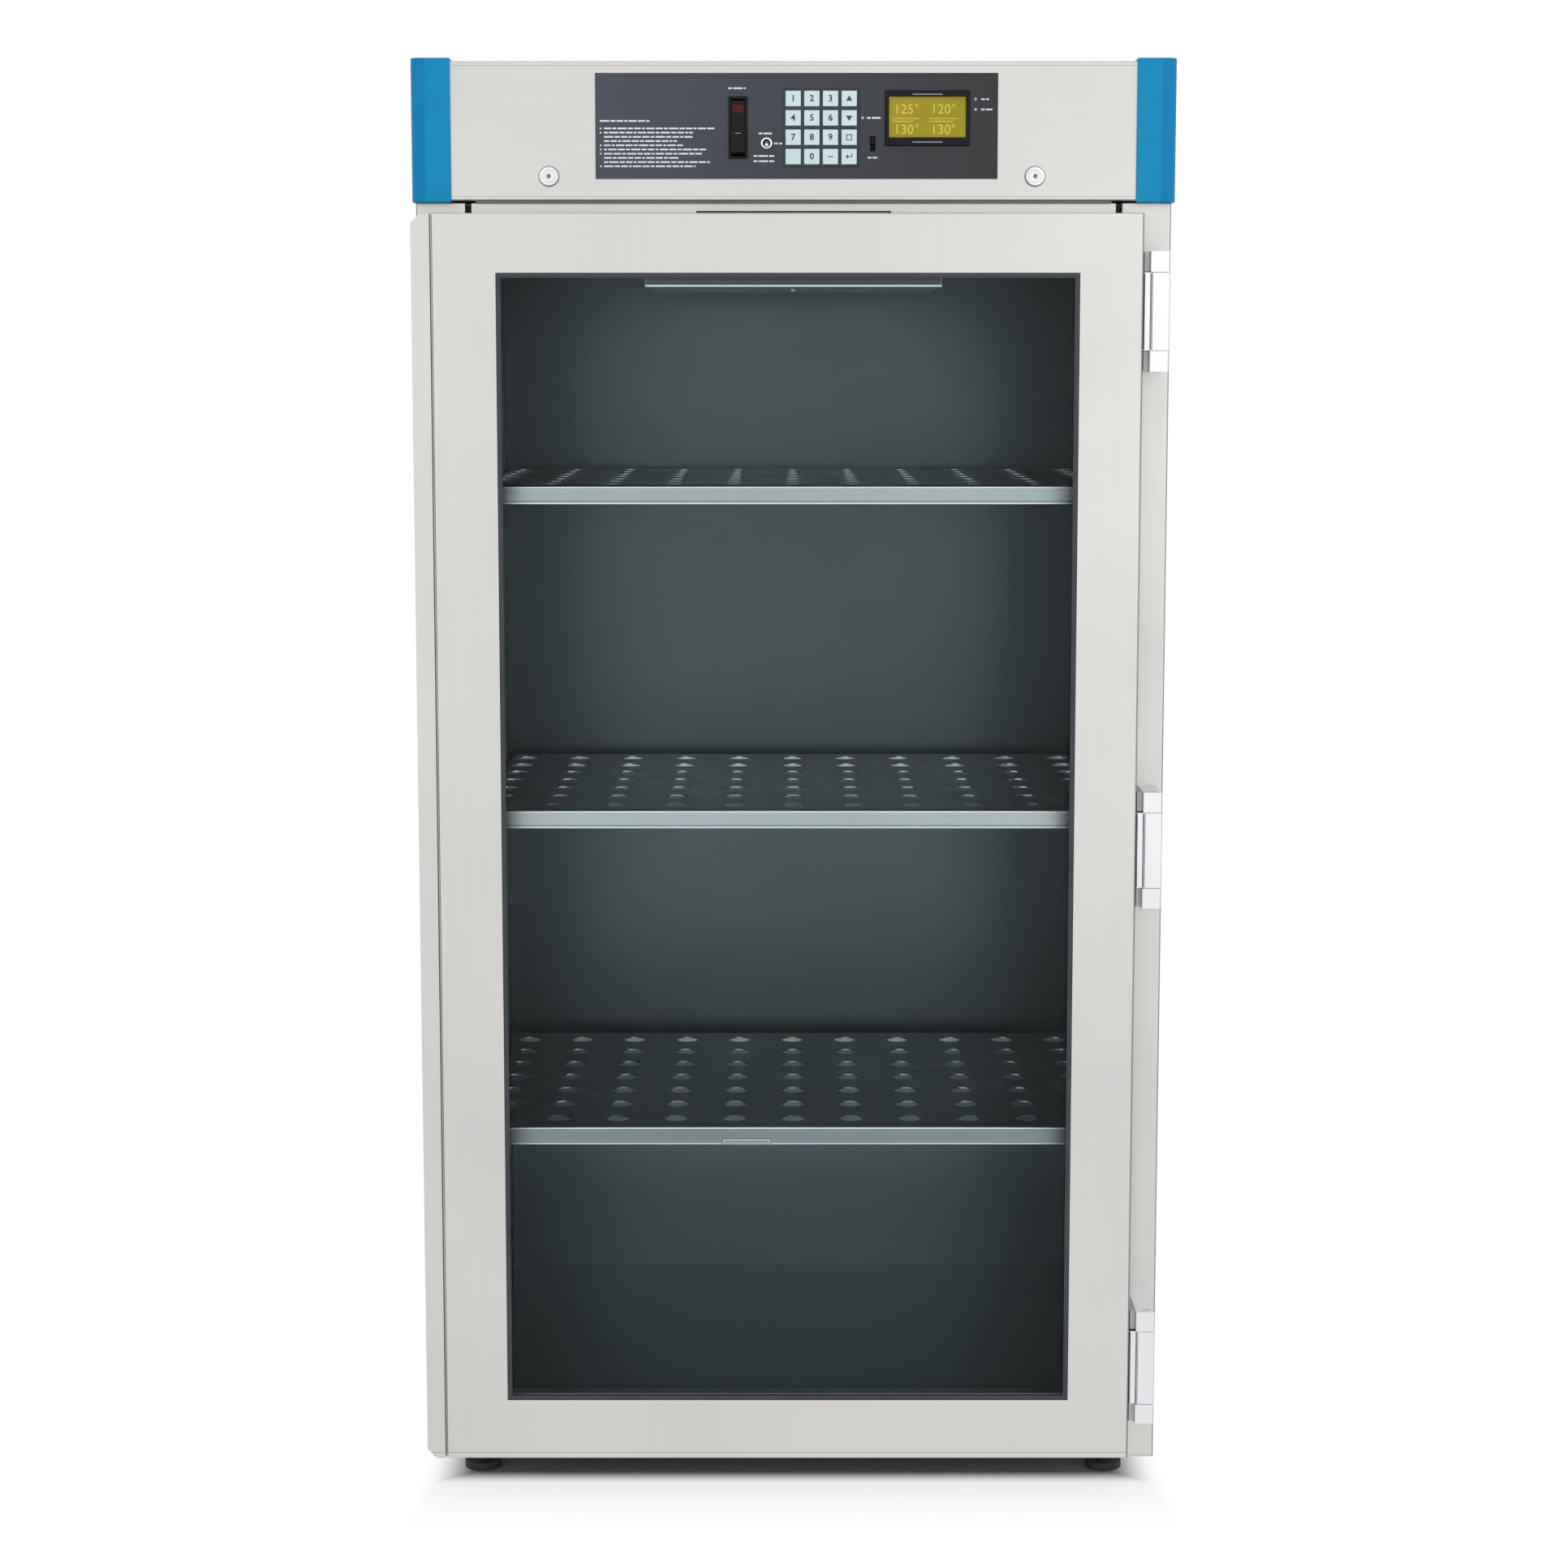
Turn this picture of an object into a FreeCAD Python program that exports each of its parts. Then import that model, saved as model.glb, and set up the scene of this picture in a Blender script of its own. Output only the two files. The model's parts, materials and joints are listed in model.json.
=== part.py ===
import FreeCAD, Part
import os
import re

import Sketcher

# Blanket warming cabinet. Millimetres, +Z up, front towards -Y. The origin is on the
# floor under the middle of the whole cabinet.

doc = FreeCAD.newDocument("WarmingCabinet")

# ---------------------------------------------------------------------------
# Driving sizes: one named cell each, in millimetres unless the note says so
# ---------------------------------------------------------------------------

SIZES = (
    ("BodyWidth", 762, "outside width of the cabinet body"),
    ("BodyDepth", 560, "body depth, front posts to rear panel"),
    ("BodyHeight", 1311, "underside of the base pan to the top deck"),
    ("FootHeight", 27, "floor to the underside of the base pan"),
    ("SheetThick", 1.5, "stainless sheet"),
    ("BendRadius", 2, "outside radius of the sheet bends"),
    ("PostWidth", 50, "front posts, folded from the side panels"),
    ("PostReturn", 25, "lip folded back from each front post and rail"),
    ("RearFlange", 20, "flange folded in at the rear of each side panel"),
    ("RailSlot", 6, "slot between the top rail and each post"),
    ("LinerClear", 0.5, "between the post lip and the chamber liner"),
    ("RearSpace", 70, "chamber back wall to the rear of the body"),
    ("FloorLift", 59, "underside of the base pan to the chamber floor"),
    ("CeilingDrop", 46, "body top to the chamber ceiling"),
    ("JacketClear", 0.3, "around the insulation jacket"),
    ("LowestShelf", 294, "chamber floor to the lowest shelf"),
    ("HighestShelf", 239, "chamber ceiling to the highest shelf"),
    ("ShelfInset", 20, "shelf front behind the body front"),
    ("ShelfRearGap", 30, "shelf rear to the chamber back wall"),
    ("ShelfSideGap", 4, "between shelf and chamber wall"),
    ("ShelfLip", 20, "depth of the folded lips"),
    ("ShelfHem", 8, "return at the bottom of the front and rear lips"),
    ("HoleRadius", 12.5, "shelf perforations, middle to flat"),
    ("HoleColumns", 11, "count across the shelf"),
    ("HoleRows", 7, "count front to back"),
    ("HoleSideLand", 6.5, "shelf end to the outer holes"),
    ("HoleEndLand", 23, "shelf front and rear to the nearest holes"),
    ("PilasterWidth", 20, "shelf standard on the chamber wall"),
    ("PilasterThick", 3, "height of the shelf standard above the wall"),
    ("PilasterSheet", 1, "steel of the shelf standards"),
    ("PilasterInset", 60, "shelf front and rear to the nearest standard"),
    ("PilasterEnd", 2, "standard end to chamber floor and ceiling"),
    ("ClipReach", 16, "clip tongue under the shelf lip"),
    ("ClipHeight", 14, "upright of the clip"),
    ("ClipWidth", 12, "clip along the depth"),
    ("ClipThick", 2, "clip steel"),
    ("GuardWidth", 303, "air guard under the ceiling"),
    ("GuardDepth", 311, "air guard, front to back"),
    ("GuardHeight", 37.5, "air guard below the ceiling"),
    ("GuardInset", 27, "guard front behind the body front"),
    ("GuardHoles", 8, "count in the guard's front flange"),
    ("GuardHoleRadius", 7, "holes in the guard's front flange"),
    ("GuardHolePitch", 37.8, "between those holes"),
    ("IntakeSlots", 16, "count of radial intake slots under the fan"),
    ("IntakeInner", 16, "fan axis to the inner end of a slot"),
    ("IntakeLand", 2, "outer end of a slot inside the fan's eye"),
    ("IntakeWidth", 4.5, "width of a slot"),
    ("FanRadius", 76, "fan wheel"),
    ("FanEye", 56, "inner radius of the blades and the shroud ring"),
    ("FanClear", 6.5, "fan wheel to the guard under it"),
    ("FanDrop", 6, "ceiling to the fan wheel's back plate"),
    ("FanPlate", 1.5, "back plate, shroud and blade thickness"),
    ("FanBlades", 14, "count"),
    ("BladeLean", 5, "forward lean of a blade's outer end"),
    ("HubRadius", 12, "fan hub"),
    ("ShaftRadius", 5, "motor shaft"),
    ("ShaftClear", 0.05, "radial running clearance of the shaft"),
    ("ShaftSeat", 14, "shaft length held in the motor"),
    ("ShaftHole", 15, "radius of the shaft's way through deck, jacket and ceiling"),
    ("MotorRadius", 43, "motor can"),
    ("MotorHeight", 58, "motor can"),
    ("MotorPlate", 116, "square mounting plate"),
    ("MotorPlateThick", 3, "mounting plate"),
    ("BossRadius", 13, "motor's bearing boss"),
    ("BossDrop", 12, "bearing boss below the mounting plate"),
    ("HeaterGap", 24, "fan wheel to the middle of a heating rod"),
    ("HeaterTube", 4, "heating rod radius"),
    ("HeaterLength", 190, "heating rod between its brackets"),
    ("HeaterFoot", 14, "foot of a heating rod bracket"),
    ("TerminalReach", 12, "heating rod end beyond its rear bracket"),
    ("ProbeRadius", 3, "temperature probe"),
    ("ProbeLength", 60, "temperature probe"),
    ("ProbeSpread", 120, "each probe from the middle of the back wall"),
    ("ProbeBlock", 14, "probe clamp block"),
    ("DoorThick", 40, "door"),
    ("DoorGap", 10, "door back to body front, filled by the gasket"),
    ("DoorDrop", 12, "body top to the door's upper edge"),
    ("DoorLift", 17, "underside of the base pan to the door's lower edge"),
    ("HingeMargin", 6.6, "hinge end blocks to the door's hinge edge"),
    ("StileWidth", 63.4, "door face beside the window"),
    ("DoorTopRail", 59, "door face above the window"),
    ("DoorBottomRail", 62.6, "door face below the window"),
    ("SkinClear", 0.3, "between the door skin and the inner frame"),
    ("GlassThick", 5, "each pane"),
    ("GlassGap", 10, "between the panes"),
    ("GlassLap", 9, "pane edge beyond the window opening"),
    ("BeadWidth", 5, "visible glazing bead"),
    ("BeadSink", 0.4, "bead face behind the door face"),
    ("RimWall", 2, "inner frame rim around the window"),
    ("GasketWidth", 12, "door gasket"),
    ("GasketInset", 2.4, "gasket inside the door skin"),
    ("GasketClear", 0.3, "gasket to body front with the door shut"),
    ("PullWidth", 18.8, "front face of the pull strip"),
    ("PullGroove", 2, "groove between pull strip and door"),
    ("PullGrooveDeep", 6, "depth of that groove"),
    ("PullSheet", 2, "pull strip wall"),
    ("PullFlange", 4, "pull strip wall against the door"),
    ("PullLip", 14, "lip folded back at the pull strip's outer edge"),
    ("PullChamfer", 10, "cut corners of the pull strip"),
    ("HingeInset", 97, "hinge centre from the door's top and bottom edges"),
    ("HingeHeight", 119.3, "end block to end block"),
    ("KnuckleHeight", 77.4, "door leaf and its knuckle"),
    ("HingeRunning", 0.35, "between knuckle and end blocks"),
    ("HingeWidth", 19, "end blocks across"),
    ("HingeSideInset", 7, "end blocks inside the body side"),
    ("BracketPlate", 3, "bracket plate on the body"),
    ("KnuckleInset", 2.4, "knuckle narrower than the end blocks"),
    ("KnuckleDepth", 18, "knuckle front to back"),
    ("LeafThick", 4, "leaf on the door's edge"),
    ("LeafEdge", 2, "leaf ends inside the door face and back"),
    ("LeafClear", 0.2, "leaf to the door's edge"),
    ("PinRadius", 4, "hinge pin"),
    ("PinClear", 0.05, "radial clearance of the hinge pin"),
    ("HeaderHeight", 138, "header fascia"),
    ("HeaderGap", 2, "seam under the header"),
    ("HeaderProud", 9, "header front ahead of the body front"),
    ("FasciaReturn", 12, "edges folded back from the fascia"),
    ("CapThick", 3, "moulded corner caps"),
    ("CapFront", 40, "caps across the front"),
    ("CapSide", 45, "caps along the side"),
    ("CapRadius", 10, "outer corner of the caps"),
    ("CapSeat", 7, "inner corner of the caps"),
    ("CapClear", 1, "fascia end inside the cap corner"),
    ("PlateWidth", 403.4, "control plate"),
    ("PlateDrop", 11.9, "fascia top to the control plate"),
    ("PlateOffset", 2.9, "control plate centre right of the middle"),
    ("PlateLift", 21.5, "fascia bottom to the control plate"),
    ("PlateThick", 1.2, "control plate"),
    ("FitClear", 0.3, "around what is let into the control plate"),
    ("RockerGap", 19.3, "rocker housing to the toggle's axis"),
    ("RockerZ", -1.7, "rocker centre on the control plate"),
    ("RockerWidth", 18.4, "rocker housing"),
    ("RockerHeight", 61, "rocker housing"),
    ("RockerWall", 2, "rocker housing wall"),
    ("RockerDepth", 20, "rocker housing behind the fascia"),
    ("RockerThrow", 14, "degrees between off and on"),
    ("RockerSide", 0.3, "rocker to housing wall"),
    ("ToggleGap", 16.8, "toggle's axis to the keypad"),
    ("ToggleZ", -17.1, "toggle on the control plate"),
    ("ToggleNut", 5.5, "radius of the toggle's nut and bush"),
    ("ToggleBore", 3.6, "mouth of the toggle's bush"),
    ("ToggleBush", 4, "bush ahead of the control plate"),
    ("ToggleReach", 12, "lever from its pivot"),
    ("ToggleDrum", 2.6, "pivot drum at the lever's root, along the lever"),
    ("ToggleStem", 1.2, "radius of the lever's stem"),
    ("ToggleTip", 4, "thicker end of the lever"),
    ("ToggleThrow", 24, "degrees between the two positions"),
    ("KeypadX", 24.6, "keypad centre on the control plate"),
    ("KeypadZ", -1.65, "keypad centre on the control plate"),
    ("KeySize", 15.4, "key cap"),
    ("KeyGapX", 3.3, "between key columns"),
    ("KeyGapZ", 3.7, "between key rows"),
    ("KeyProud", 1.5, "key face ahead of the control plate"),
    ("KeyDepth", 6, "key cap front to back"),
    ("KeyTravel", 1.2, "key stroke"),
    ("KeyClear", 0.25, "key to frame"),
    ("KeyRound", 1, "key cap corners"),
    ("KeypadDepth", 9, "keypad frame behind the fascia front"),
    ("LoadLampGap", 3.6, "keypad to the lamp beside it"),
    ("LoadLampZ", 8, "lamp beside the keypad"),
    ("SideLampGap", 5.8, "display to the two lamps right of it"),
    ("SideLampHighZ", 26.4, "upper one"),
    ("SideLampLowZ", 16.3, "lower one"),
    ("LampRadius", 1.6, "lamp"),
    ("LampProud", 0.8, "lamp ahead of the control plate"),
    ("LampBody", 12, "lamp behind the fascia front"),
    ("SlideGap", 13.7, "keypad to the middle of the slide switch"),
    ("SlideZ", -17.6, "slide switch on the control plate"),
    ("SlideWidth", 5, "slide switch slot"),
    ("SlideHeight", 14.4, "slide switch slot"),
    ("SlideKnob", 6.4, "slide knob along its travel"),
    ("SlideProud", 1.2, "slide knob ahead of the control plate"),
    ("DisplayGap", 26.2, "keypad to the display bezel"),
    ("DisplayZ", 7.6, "display on the control plate"),
    ("DisplayWidth", 84.6, "display bezel"),
    ("DisplayHeight", 54.4, "display bezel"),
    ("DisplaySide", 3.8, "bezel beside the display window"),
    ("DisplayEnd", 7.1, "bezel above and below the display window"),
    ("DisplayViewLift", 1.2, "display window above the bezel's middle"),
    ("DisplayProud", 1.5, "bezel ahead of the control plate"),
    ("DisplayDepth", 14, "bezel front to back"),
    ("DisplayWall", 1.5, "bezel wall"),
    ("PanelThick", 6, "display panel"),
    ("FastenerLeft", 135.3, "body side to the left fascia fastener"),
    ("FastenerRight", 138.7, "body side to the right fascia fastener"),
    ("FastenerLift", 24, "fascia bottom to the fastener centres"),
    ("FastenerRadius", 9.5, "fastener head"),
    ("FastenerHead", 4, "fastener head thickness"),
    ("FastenerSlot", 2.2, "slot across the head"),
    ("FastenerShank", 4, "fastener shank radius"),
    ("BoardSetback", 26, "fascia front to the control board"),
    ("BoardInset", 9, "control board inside the control plate's outline"),
    ("BoardThick", 1.6, "control board"),
    ("StandoffRadius", 3.5, "control board standoffs, middle to flat"),
    ("RelaySize", 12, "relay across, and half its height"),
    ("RelayCount", 4, "count of relays on the control board"),
    ("InletInset", 111, "body side to the middle of the power inlet"),
    ("InletLift", 52, "header bottom to the inlet centre"),
    ("InletWidth", 30, "inlet body"),
    ("InletHeight", 24, "inlet body"),
    ("InletDepth", 24, "inlet body"),
    ("InletWall", 2.5, "inlet wall"),
    ("InletSocket", 16, "socket depth"),
    ("InletPin", 10, "contact pin length"),
    ("InletPinPitch", 7, "between contact pins"),
    ("VentCount", 9, "count of vent slots in each rear field"),
    ("VentPitch", 9, "between vent slots"),
    ("VentSlot", 4, "vent slot height"),
    ("VentWidth", 130, "vent slot length"),
    ("FootInset", 48, "foot centre from the body sides, front and rear"),
    ("FootRadius", 19, "foot pad"),
    ("FootPad", 8, "foot pad thickness"),
    ("FootStud", 5, "foot stud, middle to flat"),
    ("FootNut", 9, "foot lock nut, middle to flat"),
)

sheet = doc.addObject("Spreadsheet::Sheet", "Sizes")
for row, (alias, number, note) in enumerate(SIZES, start=1):
    sheet.set(f"A{row}", alias)
    sheet.set(f"B{row}", str(number))
    sheet.setAlias(f"B{row}", alias)
    sheet.set(f"C{row}", note)
doc.recompute()

# Places that follow from the driving sizes. Each may use the ones above it.
PLACES = (
    ("HalfBody", "BodyWidth / 2"),
    ("FrontY", "-(BodyDepth - DoorGap - DoorThick) / 2"),
    ("RearY", "FrontY + BodyDepth"),
    ("BaseZ", "FootHeight"),
    ("BodyTop", "BaseZ + BodyHeight"),
    ("PostEdge", "HalfBody - PostWidth"),
    ("LipBackY", "FrontY + PostReturn"),
    ("ChamberHalf", "PostEdge + SheetThick + LinerClear"),
    ("BackWallY", "RearY - RearSpace"),
    ("FloorZ", "BaseZ + FloorLift"),
    ("CeilingZ", "BodyTop - CeilingDrop"),
    ("ShelfHalf", "ChamberHalf - ShelfSideGap"),
    ("ShelfFrontY", "FrontY + ShelfInset"),
    ("ShelfRearY", "BackWallY - ShelfRearGap"),
    ("ShelfDepth", "ShelfRearY - ShelfFrontY"),
    ("ShelfPitch", "(CeilingZ - HighestShelf - FloorZ - LowestShelf) / 2"),
    ("HoleSideInset", "HoleSideLand + HoleRadius"),
    ("HoleEndInset", "HoleEndLand + HoleRadius"),
    ("StandardX", "ChamberHalf - PilasterThick"),
    ("GuardHalf", "GuardWidth / 2"),
    ("GuardFrontY", "FrontY + GuardInset"),
    ("GuardZ", "CeilingZ - GuardHeight"),
    ("FanY", "GuardFrontY + GuardDepth / 2"),
    ("FanZ", "CeilingZ - FanDrop"),
    ("FanHeight", "GuardHeight - SheetThick - FanDrop - FanPlate - FanClear"),
    ("HeaterX", "FanRadius + HeaterGap"),
    ("HeaterZ", "CeilingZ - GuardHeight / 2"),
    ("DoorY", "FrontY - DoorGap - DoorThick"),
    ("DoorBackY", "FrontY - DoorGap"),
    ("DoorLeft", "-HalfBody + PullWidth + PullGroove"),
    ("HingeOuter", "HalfBody - HingeSideInset"),
    ("HingeInner", "HingeOuter - HingeWidth"),
    ("DoorRight", "HingeInner - HingeMargin"),
    ("DoorBottom", "BaseZ + DoorLift"),
    ("DoorTop", "BodyTop - DoorDrop"),
    ("WindowLeft", "DoorLeft + StileWidth"),
    ("WindowRight", "DoorRight - StileWidth"),
    ("WindowBottom", "DoorBottom + DoorBottomRail"),
    ("WindowTop", "DoorTop - DoorTopRail"),
    ("GlassY", "DoorY + SheetThick"),
    ("InnerGlassY", "GlassY + GlassThick + GlassGap"),
    ("PullInner", "-HalfBody + PullWidth"),
    ("KnuckleWidth", "HingeWidth - KnuckleInset"),
    ("AxisX", "HingeOuter - KnuckleWidth / 2"),
    ("AxisY", "DoorY + KnuckleDepth / 2"),
    ("HingeSpan", "DoorTop - DoorBottom - 2 * HingeInset"),
    ("LowHingeZ", "DoorBottom + HingeInset"),
    ("HeaderY", "FrontY - HeaderProud"),
    ("HeaderZ", "BodyTop + HeaderGap"),
    ("HeaderTop", "HeaderZ + HeaderHeight"),
    ("CapInner", "HalfBody + CapThick - CapFront"),
    ("CapBackY", "HeaderY - CapThick + CapSide"),
    ("FasciaHalf", "HalfBody - CapSeat - CapClear"),
    ("PlateX", "PlateOffset"),
    ("PlateHeight", "HeaderHeight - PlateLift - PlateDrop"),
    ("PlateZ", "HeaderZ + PlateLift + PlateHeight / 2"),
    ("PlateY", "HeaderY - PlateThick"),
    ("KeyPitchX", "KeySize + KeyGapX"),
    ("KeyPitchZ", "KeySize + KeyGapZ"),
    ("KeypadHalf", "2 * KeyPitchX + KeyRound / 2"),
    ("KeypadRight", "KeypadX + KeypadHalf"),
    ("ToggleX", "KeypadX - KeypadHalf - ToggleGap"),
    ("RockerX", "ToggleX - RockerGap - RockerWidth / 2"),
    ("SlideX", "KeypadRight + SlideGap"),
    ("DisplayX", "KeypadRight + DisplayGap + DisplayWidth / 2"),
    ("DisplayView", "DisplayWidth - 2 * DisplaySide"),
    ("DisplayViewHeight", "DisplayHeight - 2 * DisplayEnd"),
    ("LoadLampX", "KeypadRight + LoadLampGap"),
    ("SideLampX", "DisplayX + DisplayWidth / 2 + SideLampGap"),
    ("BoardWidth", "PlateWidth - 2 * BoardInset"),
    ("BoardHeight", "PlateHeight - 2 * BoardInset"),
    ("InletX", "HalfBody - InletInset"),
)


def formula(text):
    """Write a formula on named sizes and places as the document's expressions read it."""
    for name, meaning in reversed(PLACES):
        text = re.sub(rf"\b{name}\b", f"({meaning})", text)
    return re.sub(r"\b([A-Z][A-Za-z]+)\b", r"Sizes.\1", text)


def value(text):
    """Number that a formula stands for."""
    return float(sheet.evalExpression(formula(text)))


# ---------------------------------------------------------------------------
# Ways of making a piece
# ---------------------------------------------------------------------------

nodes = {}


def keep(name, piece):
    """Label a finished piece with its node's name."""
    piece.Label = name
    nodes[name] = piece
    return piece


def new_body(name, x="0", y="0", z="0"):
    """A body whose own origin stands at the given place."""
    body = doc.addObject("PartDesign::Body", name + "_body")
    for axis, text in (("x", x), ("y", y), ("z", z)):
        if text != "0":
            body.setExpression(f"Placement.Base.{axis}", formula(text))
    return body


def tilt(body, axis, degrees):
    """Turn a body about an axis through its own origin."""
    body.Placement.Rotation = FreeCAD.Rotation(FreeCAD.Vector(*axis), 1)
    body.setExpression("Placement.Rotation.Angle", formula(f"({degrees}) * 1 deg"))


def origin(body, role):
    """The body's own origin plane or axis of that role."""
    return next(item for item in body.Origin.OriginFeatures if item.Role == role)


def new_sketch(body, name, plane, lift):
    """A sketch on an origin plane, moved to a coordinate along that plane's world axis."""
    sketch = body.newObject("Sketcher::SketchObject", name + "_sketch")
    sketch.AttachmentSupport = (origin(body, plane), "")
    sketch.MapMode = "FlatFace"
    sign = "-" if plane == "XZ_Plane" else ""
    if lift != "0":
        sketch.setExpression("AttachmentOffset.Base.z", formula(f"{sign}({lift})"))
    return sketch


def draw(sketch, outline):
    """Draw a closed outline of (across, up) formulas, each corner held from the origin."""
    corners = [FreeCAD.Vector(value(across), value(up), 0) for across, up in outline]
    first = sketch.GeometryCount
    count = len(corners)
    for index, corner in enumerate(corners):
        sketch.addGeometry(Part.LineSegment(corner, corners[(index + 1) % count]), False)
    for index, (across, up) in enumerate(outline):
        following = first + (index + 1) % count
        sketch.addConstraint(Sketcher.Constraint("Coincident", first + index, 2, following, 1))
        for kind, text in (("DistanceX", across), ("DistanceY", up)):
            held = Sketcher.Constraint(kind, first + index, 1, value(text))
            number = sketch.addConstraint(held)
            sketch.setExpression(f"Constraints[{number}]", formula(text))


def ring(sketch, across, up, radius):
    """Draw a circle whose centre and radius are formulas."""
    centre = FreeCAD.Vector(value(across), value(up), 0)
    circle = Part.Circle(centre, FreeCAD.Vector(0, 0, 1), value(radius))
    index = sketch.addGeometry(circle, False)
    for kind, text in (("DistanceX", across), ("DistanceY", up)):
        number = sketch.addConstraint(Sketcher.Constraint(kind, index, 3, value(text)))
        sketch.setExpression(f"Constraints[{number}]", formula(text))
    number = sketch.addConstraint(Sketcher.Constraint("Radius", index, value(radius)))
    sketch.setExpression(f"Constraints[{number}]", formula(radius))


def block(left, right, low, high):
    """Corners of a rectangle."""
    return ((left, low), (right, low), (right, high), (left, high))


def many_sided(across, up, radius, sides):
    """Corners of a regular outline whose flats stand at the radius."""
    corner = f"({radius}) / cos({180 / sides} deg)"
    turns = [360 * (number + 0.5) / sides for number in range(sides)]
    return tuple((f"{across} + {corner} * cos({turn} deg)", f"{up} + {corner} * sin({turn} deg)")
                 for turn in turns)


def prism(body, kind, name, plane, low, high, outlines=(), circles=()):
    """Pad or pocket outlines between two coordinates along the plane's world axis."""
    sketch = new_sketch(body, name, plane, low)
    for outline in outlines:
        draw(sketch, outline)
    for circle in circles:
        ring(sketch, *circle)
    feature = body.newObject(f"PartDesign::{kind}", name)
    feature.Profile = sketch
    feature.setExpression("Length", formula(f"({high}) - ({low})"))
    feature.Reversed = (kind == "Pad") == (plane == "XZ_Plane")
    sketch.Visibility = False
    return feature


def round_edges(body, name, radius, is_edge, kind="Fillet"):
    """Round or bevel the edges of the tip that a test on (middle, direction) picks."""
    doc.recompute()
    base = body.Tip
    picked = []
    for number, edge in enumerate(base.Shape.Edges, start=1):
        if edge.Curve.TypeId != "Part::GeomLine":
            continue
        if is_edge(edge.CenterOfGravity, edge.tangentAt(edge.FirstParameter)):
            picked.append(f"Edge{number}")
    feature = body.newObject(f"PartDesign::{kind}", name)
    feature.Base = (base, picked)
    feature.setExpression("Radius" if kind == "Fillet" else "Size", formula(radius))
    return feature


def near(*pairs):
    """True when every (number, formula) pair agrees."""
    return all(abs(number - value(text)) < 0.01 for number, text in pairs)


def line_pattern(body, name, originals, axis, length, count):
    """Repeat features along an origin axis; length spans first to last."""
    feature = body.newObject("PartDesign::LinearPattern", name)
    feature.Originals = originals
    feature.Direction = (origin(body, axis), [""])
    feature.setExpression("Length", formula(length))
    feature.setExpression("Occurrences", formula(count))
    body.Tip = feature
    return feature


def grid_pattern(body, name, originals, first, second):
    """Repeat features along two origin axes, each given as (axis, length, count)."""
    feature = line_pattern(body, name, originals, *first)
    axis, length, count = second
    feature.Direction2 = (origin(body, axis), [""])
    feature.setExpression("Length2", formula(length))
    feature.setExpression("Occurrences2", formula(count))
    return feature


def round_pattern(body, name, originals, count):
    """Repeat features about the body's own Z axis."""
    feature = body.newObject("PartDesign::PolarPattern", name)
    feature.Originals = originals
    feature.Axis = (origin(body, "Z_Axis"), [""])
    feature.Angle = 360
    feature.setExpression("Occurrences", formula(count))
    body.Tip = feature
    return feature


def rows_on_both_sides(body, name, originals, grid):
    """Repeat features over a grid of (axis, length, count) rows, then mirror them all in X."""
    steps = []
    for number, (axis, length, count) in enumerate(grid):
        step = line_pattern(body, f"{name}_step_{number}", [], axis, length, count)
        steps.append(step)
    steps.append(mirror(body, f"{name}_other_side", []))
    feature = body.newObject("PartDesign::MultiTransform", name)
    feature.Originals = originals
    feature.Transformations = steps
    body.Tip = feature
    return feature


def mirror(body, name, originals, plane="YZ_Plane"):
    """Mirror features in one of the body's origin planes."""
    feature = body.newObject("PartDesign::Mirrored", name)
    feature.Originals = originals
    feature.MirrorPlane = (origin(body, plane), [""])
    body.Tip = feature
    return feature


def slab(name, x, y, z):
    """A plain box between two formulas on each axis."""
    solid = doc.addObject("Part::Box", name)
    for side, axis, (low, high) in zip(("Length", "Width", "Height"), "xyz", (x, y, z)):
        solid.setExpression(side, formula(f"({high}) - ({low})"))
        solid.setExpression(f"Placement.Base.{axis}", formula(low))
    return solid


def rod(name, radius, length, x, y, z):
    """A cylinder from a point along +Z."""
    solid = doc.addObject("Part::Cylinder", name)
    solid.setExpression("Radius", formula(radius))
    solid.setExpression("Height", formula(length))
    for axis, text in zip("xyz", (x, y, z)):
        solid.setExpression(f"Placement.Base.{axis}", formula(text))
    return solid


def joined(name, kind, pieces):
    """A Part::MultiFuse, Part::Compound or Part::Cut of other objects."""
    result = doc.addObject(f"Part::{kind}", name + "_" + kind.lower())
    if kind == "Cut":
        result.Base, result.Tool = pieces
    elif kind == "Compound":
        result.Links = pieces
    else:
        result.Shapes = pieces
    return result


# ---------------------------------------------------------------------------
# Body shell: folded stainless sheet around the insulation
# ---------------------------------------------------------------------------

body = new_body("side_panels")
panel = prism(body, "Pad", "side_sheet", "XY_Plane", "BaseZ + SheetThick", "BodyTop", [(
    ("HalfBody", "FrontY"),
    ("HalfBody", "RearY - SheetThick"),
    ("HalfBody - RearFlange", "RearY - SheetThick"),
    ("HalfBody - RearFlange", "RearY - 2 * SheetThick"),
    ("HalfBody - SheetThick", "RearY - 2 * SheetThick"),
    ("HalfBody - SheetThick", "FrontY + SheetThick"),
    ("PostEdge + SheetThick", "FrontY + SheetThick"),
    ("PostEdge + SheetThick", "LipBackY"),
    ("PostEdge", "LipBackY"),
    ("PostEdge", "FrontY"),
)])
mirror(body, "left_panel", [panel])
round_edges(body, "post_bends", "BendRadius", lambda middle, along: abs(along.z) > 0.9 and (
    near((abs(middle.x), "HalfBody"), (middle.y, "FrontY"))
    or near((abs(middle.x), "PostEdge"), (middle.y, "FrontY"))))
keep("side_panels", body)

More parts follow.
